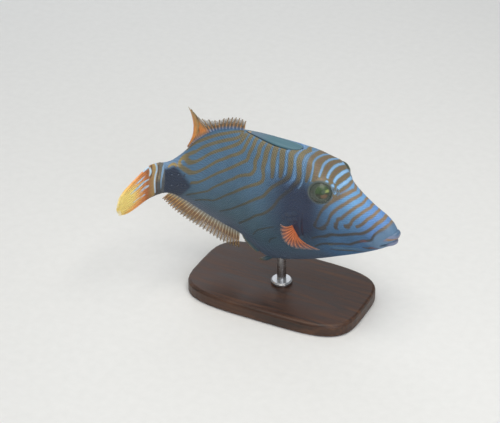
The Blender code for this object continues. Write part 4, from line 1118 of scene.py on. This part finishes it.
def ray_rods(name, paths, in_sheet, wide):
    """One closed rod along each path: an ellipse across the path, wide in the fin's sheet and a
    tenth thinner through it, closed at both ends."""
    ahead = unit(np.gradient(paths, axis=1))
    through = unit(np.cross(ahead, in_sheet))
    flat = np.cross(through, ahead)
    turn = np.arange(ROD_SIDES) * 2 * np.pi / ROD_SIDES
    ring = flat[:, :, None] * (wide[..., None] * np.cos(turn))[..., None]
    ring = ring + through[:, :, None] * (0.9 * wide[..., None] * np.sin(turn))[..., None]
    return closed_nets(name, paths[:, :, None] + ring, True)


def film(name, sheet, thickness):
    """Closed thin skin on both sides of a sheet of points, its edge closed all round."""
    rows, cols = sheet.shape[:2]
    out = unit(np.cross(np.gradient(sheet, axis=0), np.gradient(sheet, axis=1)))
    half = out * thickness / 2
    index = np.arange(rows * cols).reshape(rows, cols)
    rim = np.concatenate([index[:, 0], index[-1, 1:], index[-2::-1, -1], index[0, -2:0:-1]])
    after = np.roll(rim, -1)
    other = rows * cols
    front = net_faces(rows, cols)
    edge = np.stack([rim, rim + other, after + other, after], axis=1)
    points = np.concatenate([sheet + half, sheet - half])
    return plain_mesh(name, points, [front, front[:, ::-1] + other, edge])


def median_sheet(line, upwards, base, length, back, aside, curl=((0, 0), (1, 0))):
    """Sheet of a fin on the middle line: from each place on the base a ray starts square to the
    back or belly, turns to its slant near its root, and runs its length; its slant backwards grows
    by the curl with the square of the way out."""
    s = base[0] + (base[1] - base[0]) * PLACES
    slope = (spline(line, s + 0.5) - spline(line, s - 0.5)) * upwards
    square = unit(np.stack([-slope, 0 * s, 1 + 0 * s], axis=1))
    curled = spline(curl, PLACES)[:, None] * OUT**2
    lean_back = np.tan(np.radians(spline(back, PLACES)[:, None] + curled))
    lean_aside = np.tan(np.radians(spline(aside, PLACES)))[:, None] + 0 * lean_back
    slant = unit(np.stack([lean_back, -lean_aside, 1 + 0 * lean_back], axis=-1))
    bent = fade(OUT, 0, 0.12)[None, :, None]
    heading = unit(square[:, None, :] * (1 - bent) + slant * bent)
    stride = spline(length, PLACES)[:, None] * np.diff(OUT)
    stride = 0.5 * (heading[:, 1:] + heading[:, :-1]) * stride[..., None]
    path = np.concatenate([np.zeros((len(s), 1, 3)), np.cumsum(stride, axis=1)], axis=1)
    root = spline(line, s) - 0.5 * upwards
    return place(s[:, None] + path[..., 0], path[..., 1], root[:, None] + upwards * path[..., 2])


def on_sheet(sheet, at, step):
    """Points of the sheet at places along the base and steps out along the rays, each mixed from
    the four nearest."""
    i = np.clip(np.searchsorted(PLACES, at) - 1, 0, len(PLACES) - 2)
    j = np.clip(step.astype(int), 0, len(OUT) - 2)
    a = ((at - PLACES[i]) / (PLACES[i + 1] - PLACES[i]))[..., None]
    b = (step - j)[..., None]
    low = sheet[i, j] * (1 - a) + sheet[i + 1, j] * a
    high = sheet[i, j + 1] * (1 - a) + sheet[i + 1, j + 1] * a
    return low * (1 - b) + high * b


def fan(name, sheet, rays, radius, split, film_reach, spread=0.27, lean=0.0, thickness=0.16):
    """Rays and film of one fin: each ray a stem and two branches that part from it, leaning along
    the fin with the square of the way out, and the film scalloped between the rays' tips. Returns
    the two meshes."""
    stem = rays[:, None] + np.broadcast_to(lean, rays.shape)[:, None] * OUT**2
    part = spread * np.gradient(rays)[:, None] * fade(OUT, split, 1.0)
    at = np.clip(np.concatenate([stem, stem + part, stem - part]), 0, 1)
    step = np.broadcast_to(np.arange(len(OUT)), at.shape)
    behind, before = (on_sheet(sheet, np.clip(at + nudge, 0, 1), step) for nudge in (0.004, -0.004))
    joints = 1 + 0.05 * np.cos(2 * np.pi * OUT * 22) * fade(OUT, 0.15, 0.4)
    size = radius * (1 - 0.72 * OUT) * joints + 0 * stem
    size = np.concatenate([size, 0.8 * size, 0.8 * size])
    size[:, -1] *= 0.3
    rods = ray_rods(name + "_rays", on_sheet(sheet, at, step), unit(behind - before), size)
    around = (*at.shape, ROD_SIDES)
    give(rods, {"out": np.broadcast_to(OUT[:, None], around),
                "place": np.broadcast_to(at[..., None], around)})
    dense = np.linspace(rays[0], rays[-1], FILM_COLUMNS * (len(rays) - 1) + 1)
    middle = np.abs(((np.arange(len(dense)) / FILM_COLUMNS) % 1) - 0.5) * 2
    reach = spline(film_reach, dense) * (1 - 0.07 * (1 - middle**2))
    level = reach[:, None] * np.linspace(0, 1, FILM_ROWS)
    dense = dense[:, None] + 0 * level
    web = film(name + "_film", on_sheet(sheet, dense, level * (len(OUT) - 1)), thickness)
    give(web, {"out": np.tile(level.ravel(), 2), "place": np.tile(dense.ravel(), 2)})
    return rods, web


BLEND = ("ShaderNodeMix", {"data_type": "FLOAT"}, (0, 2, 3), 0)


def fin_paint(name, front_tones, rear_tones, turn_at, sheer=None, turn_lean=0.0):
    """Tinted resin, IOR 1.5, which lets light through where it is thin: tones run from the root to
    the tip, with one set in front and another behind the turn, which may lean along the fin; sheer
    gives how solid it is at root and edge, first in front and then behind. Clouds are 4 mm wide."""
    tree, shader, made = new_material(name)
    out, along = (add(tree, READ, attribute_name=key) for key in ("out", "place"))
    cloud = add(tree, NOISE, 260.0, 3.0, add(tree, WHERE))
    slanted = add(tree, TIMES_PLUS, out, -turn_lean, along)
    behind = add(tree, EASE, slanted, turn_at - 0.04, turn_at + 0.04)
    tones = [add(tree, RAMP, out, stops=stops) for stops in (front_tones, rear_tones)]
    light = add(tree, EASE, cloud, 0.3, 0.7, 0.88, 1.1)
    tone = add(tree, SHADE, 1.0, add(tree, MIX, behind, *tones), light)
    plug(shader, {"Base Color": tone, "Roughness": 0.3 if sheer else 0.4})
    if sheer:
        front = add(tree, EASE, out, 0.15, 0.95, *sheer[:2])
        rear = add(tree, EASE, out, 0.5, 1.0, *sheer[2:])
        plug(shader, {"Alpha": add(tree, BLEND, behind, front, rear)})
    return made


# The soft dorsal fin: 23 rays half way through a wave, short in front, with the rear ones long and
# drawn up into a lobe, tinted orange in resin.
DORSAL_BASE = (125.0, 167.5)
DORSAL_LENGTH = (
    (0, 8), (0.17, 10.7), (0.34, 11.3), (0.5, 9.6), (0.63, 13), (0.75, 18.2), (0.85, 30), (0.93, 27),
    (1, 16.5),
)
DORSAL_BACK = (
    (0, -8), (0.17, -10), (0.34, -7), (0.5, 7), (0.63, 17), (0.75, 8), (0.85, 3), (0.93, -15), (1, -32),
)
DORSAL_CURL = ((0, 0), (0.68, 0), (0.78, 14), (0.86, 26), (0.93, 8), (1, 0))
DORSAL_ASIDE = (
    (0, -2), (0.17, 2), (0.34, 8), (0.5, 13), (0.63, 13.5), (0.75, 9), (0.85, 5), (0.93, 11), (1, 6),
)
dorsal_rays = spline(((0, 0.01), (9, 0.56), (22, 0.99)), np.arange(23))
dorsal_lean = 0.09 * np.exp(-(((dorsal_rays - 0.66) / 0.09) ** 2))
DORSAL_FILM = ((0, 0.92), (0.45, 0.92), (0.6, 0.95), (0.8, 0.98), (1, 0.98))
DORSAL_TURN, DORSAL_TURN_LEAN = 0.62, 0.18
DORSAL_FRONT = ((0, "#7d93b8"), (0.16, "#9a9fa8"), (0.3, "#be8c5c"), (0.65, "#b69060"), (1, "#a3937a"))
DORSAL_REAR = ((0, "#8b8f9c"), (0.1, "#b88258"), (0.28, "#da8c44"), (0.6, "#e09850"),
               (0.85, "#cc9c5e"), (1, "#a49874"))
DORSAL_WEB = ((0, "#5f7fae"), (0.16, "#5f6676"), (0.3, "#6b553c"), (1, "#6b5c48"))
dorsal = median_sheet(BACK, 1, DORSAL_BASE, DORSAL_LENGTH, DORSAL_BACK, DORSAL_ASIDE, DORSAL_CURL)
rods, web = fan("soft_dorsal", dorsal, dorsal_rays, 0.64, 0.6, DORSAL_FILM, 0.12, dorsal_lean)
for mesh, name, tones, sheer in (
    (rods, "tinted_resin_dorsal_rays", DORSAL_FRONT, (1.0, 0.6, 1.0, 0.85)),
    (web, "sheer_film_dorsal", DORSAL_WEB, (0.95, 0.25, 0.97, 0.7)),
):
    paint = fin_paint(name, tones, DORSAL_REAR, DORSAL_TURN, sheer, DORSAL_TURN_LEAN)
    show(mesh, paint, "fin", "soft_dorsal_fin")


# The anal fin: 27 rays in an even row along the belly, shorter towards the tail, pale at the root
# and orange further out, of tinted resin.
ANAL_BASE = (124.5, 181.0)
ANAL_LENGTH = ((0, 15.5), (0.1, 18.5), (0.5, 17.5), (0.8, 12.5), (1, 7))
ANAL_BACK = ((0, 2), (0.2, 10), (0.5, 28), (1, 52))
ANAL_ASIDE = ((0, -6), (0.5, -12), (1, 0))
ANAL_FILM = ((0, 0.96), (0.5, 0.96), (1, 0.96))
ANAL_FRONT = ((0, "#aeb0ac"), (0.2, "#cfc9b6"), (0.4, "#d2b890"), (0.7, "#b8935f"), (1, "#a08a68"))
ANAL_REAR = ((0, "#c2bca6"), (0.25, "#d9b77c"), (0.65, "#cf944e"), (1, "#ab8a5a"))
ANAL_WEB = ((0, "#8d8f8c"), (0.2, "#9a8a70"), (0.4, "#8a6440"), (1, "#80705a"))
anal = median_sheet(BELLY, -1, ANAL_BASE, ANAL_LENGTH, ANAL_BACK, ANAL_ASIDE)
rods, web = fan("anal", anal, np.linspace(0.01, 0.99, 27), 0.52, 0.5, ANAL_FILM, 0.15)
ray_paint = fin_paint("tinted_resin_anal_rays", ANAL_FRONT, ANAL_REAR, 0.74, (1.0, 0.7, 1.0, 0.7))
web_paint = fin_paint("sheer_film_anal", ANAL_WEB, ANAL_WEB, 0.5, (0.97, 0.3, 0.97, 0.3))
show(rods, ray_paint, "fin", "anal_fin")
show(web, web_paint, "fin", "anal_fin")


# The tail fin: twelve stout rays folded narrow behind the stalk, with film between them and a
# fleshy root, cast in resin, painted over by hand and lacquered.
TAIL_TOP = ((190, 12.6), (198, 12.9), (208, 10.1), (220, 7.6), (230, 5.2), (238, 0.5))
TAIL_BOTTOM = ((190, -14.6), (200, -15.4), (212, -16.5), (225, -15), (238, -9))
TAIL_ROOT, TAIL_TIP = 188.0, 238.0
TAIL_RAYS = 12
TAIL_FILM = ((0, 0.97), (1, 0.97))


def in_tail(at, out):
    """s and height in the folded tail, at a share of the way up across it and a way out along its
    rays: the rays fan from the stalk between the fin's upper and lower edges."""
    s = TAIL_ROOT + (TAIL_TIP - 3 * np.abs(2 * at - 1) ** 2 - TAIL_ROOT) * out
    low = spline(TAIL_BOTTOM, s)
    return s, low + (spline(TAIL_TOP, s) - low) * at


def marked(mesh):
    """The tail's mesh with its marks, worked out from the place and the way out of each point."""
    at, out = np.empty(len(mesh.vertices)), np.empty(len(mesh.vertices))
    mesh.attributes["place"].data.foreach_get("value", at)
    mesh.attributes["out"].data.foreach_get("value", out)
    give(mesh, tail_marks(*in_tail(at, out)))
    return mesh


def tail_root_mesh(name):
    """The flesh of the tail's root: an oval section that flattens from the stalk's end outwards."""
    s, around = rings(np.linspace(189.0, 203.0, 24), 64)
    thick = 3.1 * (1 - fade(s, 188, 204)) + 0.35
    middle = 0.5 * (spline(TAIL_TOP, s) + spline(TAIL_BOTTOM, s))
    half = 0.5 * (spline(TAIL_TOP, s) - spline(TAIL_BOTTOM, s)) * (1 - 0.12 * fade(s, 196, 203))
    z = middle + half * np.sin(around)
    mesh = closed_nets(name, place(s, thick * np.cos(around), z))
    give(mesh, tail_marks(s, z))
    return mesh


# Acrylic paint on cast resin under a satin lacquer, IOR 1.5, mottled every 1.4 mm by the brush,
# which keeps the yellow and orange from looking flat.
tree, shader, painted_tail = new_material("painted_resin_tail")
grain = add(tree, NOISE, 700.0, 3.0, add(tree, WHERE))
tone = add(tree, SHADE, 1.0, tail_tone(tree, grain), add(tree, EASE, grain, 0.3, 0.7, 0.9, 1.08))
plug(shader, {"Base Color": tone, "Roughness": 0.4})
tail_s, tail_z = in_tail(PLACES[:, None], OUT)
pleat = 0.45 * np.cos(2 * np.pi * TAIL_RAYS * PLACES)[:, None] * fade(OUT, 0, 0.4)
rays = np.linspace(0.02, 0.98, TAIL_RAYS)
rods, web = fan("tail", place(tail_s, pleat, tail_z), rays, 0.8, 0.35, TAIL_FILM, thickness=0.5)
for mesh in (marked(rods), marked(web), tail_root_mesh("tail_root")):
    show(mesh, painted_tail, "fin", "caudal_fin")


# The pectoral fins: small fans on the flanks behind the gill slits, thrown forward and down, with
# the leading ray the stoutest.
PECTORAL_ROOT_S = (71.2, 75.5)
PECTORAL_ROOT_Z = (-15.8, -7.0)
PECTORAL_FORWARD = ((0, 22), (0.12, 12), (0.3, 3.4), (0.5, -1.2), (0.75, -3.6), (1, -4))
PECTORAL_OUT = ((0, 9), (0.25, 14.5), (0.5, 15), (0.75, 14), (1, 12))
PECTORAL_UP = ((0, 1), (0.12, -1.3), (0.3, -1.9), (0.5, -0.8), (0.75, 2.7), (1, 7))


def flank_y(s, z):
    """Half the width of the body at s and height z, without the brow."""
    widest = spline(WIDEST_AT, s)
    above = z >= widest
    power = np.where(above, spline(ROUND_ABOVE, s), spline(ROUND_BELOW, s))
    height = np.where(above, spline(BACK, s) - widest, widest - spline(BELLY, s))
    share = np.clip(np.abs(z - widest) / height, 0, 1)
    return spline(HALF_WIDTH, s) * (1 - share**power) ** (1 / power)


def pectoral_sheet(side):
    """Sheet of the fan: each ray leaves its root outwards and bends forwards as it goes."""
    root_s = PECTORAL_ROOT_S[0] + (PECTORAL_ROOT_S[1] - PECTORAL_ROOT_S[0]) * PLACES
    root_z = PECTORAL_ROOT_Z[0] + (PECTORAL_ROOT_Z[1] - PECTORAL_ROOT_Z[0]) * PLACES
    bend = OUT**1.35
    outwards = 1 - (1 - OUT) ** 1.5
    s = root_s[:, None] - spline(PECTORAL_FORWARD, PLACES)[:, None] * bend
    y = flank_y(root_s, root_z)[:, None] - 0.4 + spline(PECTORAL_OUT, PLACES)[:, None] * outwards
    z = root_z[:, None] + spline(PECTORAL_UP, PLACES)[:, None] * bend
    return place(s, side * y, z)


PECTORAL_RAYS = spline(((0, 0.01), (3, 0.2), (10, 0.99)), np.arange(11))
PECTORAL_FILM = ((0, 0.97), (0.3, 0.9), (1, 0.85))
PECTORAL_TONES = ((0, "#d87a50"), (0.4, "#dc8a5c"), (0.8, "#c48d74"), (1, "#a0928c"))
PECTORAL_WEB = ((0, "#c87248"), (0.45, "#a06450"), (1, "#74666a"))
ray_paint = fin_paint("tinted_resin_pectoral_rays", PECTORAL_TONES, PECTORAL_TONES, 0.5,
                      (1.0, 0.6, 1.0, 0.6))
web_paint = fin_paint("sheer_film_pectoral", PECTORAL_WEB, PECTORAL_WEB, 0.5, (0.98, 0.3, 0.98, 0.3))
for name, side in (("pectoral_fin_left", 1), ("pectoral_fin_right", -1)):
    rods, web = fan(name, pectoral_sheet(side), PECTORAL_RAYS, 0.55, 0.45, PECTORAL_FILM)
    show(rods, ray_paint, "fin", name)
    show(web, web_paint, "fin", name)


# The pelvic spine and the flap behind it: a rough stub of bone at the end of the hip bone, and the
# loose skin that it spreads, with short stiff rays.
PELVIC_PATH = ((95.5, -49), (99.5, -53), (103.5, -56), (107.5, -57.5))
PELVIC_SIZE = ((0, 1.0), (0.33, 1.0), (0.66, 0.8), (1, 0.35))


def pelvic_mesh(name):
    """A blunt stub carried along the path: an oval section with rings of small teeth round it."""
    way, around = rings(np.linspace(0, 1, 60), 24)
    knots = np.asarray(PELVIC_PATH, float)
    part = np.linspace(0, 1, len(knots))
    s, z = (spline(np.stack([part, values], axis=1), way) for values in knots.T)
    ds, dz = np.gradient(s, axis=0), np.gradient(z, axis=0)
    length = np.hypot(ds, dz)
    odd_rows = (np.arange(60)[:, None] // 4 % 2) * np.pi
    teeth = 1 + 0.09 * np.cos(around * 6 + odd_rows) * np.cos(way * 15 * 2 * np.pi)
    size = spline(PELVIC_SIZE, way) * teeth * fade(way, 1.02, 0.93)
    wide, tall = 2.1 * size * np.cos(around), 1.8 * size * np.sin(around)
    mesh = closed_nets(name, place(s - tall * dz / length, wide, z + tall * ds / length))
    give(mesh, {"out": way, "place": way})
    return mesh


FLAP_BASE = (107.0, 121.0)
FLAP_LENGTH = ((0, 4.5), (0.3, 5.5), (0.7, 4.5), (1, 2))
FLAP_BACK = ((0, 55), (1, 65))
FLAP_ASIDE = ((0, 0), (1, 0))
FLAP_FILM = ((0, 0.95), (1, 0.95))
FLAP_TONES = ((0, "#3a5a66"), (0.5, "#4a6470"), (1, "#8a7a5a"))
flap_paint = fin_paint("tinted_resin_flap", FLAP_TONES, FLAP_TONES, 0.5)
flap = median_sheet(BELLY, -1, FLAP_BASE, FLAP_LENGTH, FLAP_BACK, FLAP_ASIDE)
rods, web = fan("ventral_flap", flap, np.linspace(0.02, 0.98, 7), 0.45, 0.7, FLAP_FILM, thickness=0.4)
show(pelvic_mesh("pelvic_spine_stub"), flap_paint, "belly_flap", "pelvic_spine")
for mesh in (rods, web):
    show(mesh, flap_paint, "belly_flap", "ventral_flap")


# The stand: a rounded base of dark stained walnut, oiled, and a turned rod of brushed steel with a
# foot ring, screwed into the base and let into the belly.
# Walnut under oil: figure 6 mm wide along the base and dark pores 0.4 mm wide, in a soft sheen.
tree, shader, walnut = new_material("oiled_dark_walnut")
along_grain = add(tree, STRETCH, add(tree, WHERE), (6.0, 60.0, 60.0))
figure = add(tree, NOISE, 3.0, 6.0, along_grain, 1.2)
pores = add(tree, NOISE, 40.0, 2.0, along_grain)
wood = add(tree, RAMP, figure, stops=((0.3, "#2a1a10"), (0.5, "#43291a"), (0.7, "#5a3a24")))
wood = add(tree, MIX, add(tree, EASE, pores, 0.62, 0.72), wood, "#1c110a")
plug(shader, {"Base Color": wood, "Roughness": add(tree, EASE, figure, 0.3, 0.7, 0.36, 0.5),
              "Normal": add(tree, BUMP, 0.25, 0.0002, pores)})

# Steel brushed round the rod: fine bands every 0.5 mm that blur its reflections.
tree, shader, steel = new_material("brushed_steel_rod")
brushed = add(tree, NOISE, 1.5, 3.0, add(tree, STRETCH, add(tree, WHERE), (30.0, 30.0, 1500.0)))
plug(shader, {"Base Color": add(tree, MIX, brushed, "#b8b9bb", "#d4d5d6"), "Metallic": 1.0,
              "Roughness": add(tree, EASE, brushed, 0.2, 0.8, 0.22, 0.38)})
for node, made in (("stand_base", walnut), ("stand_rod", steel)):
    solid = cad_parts[node]
    solid.data.materials.clear()
    solid.data.materials.append(made)
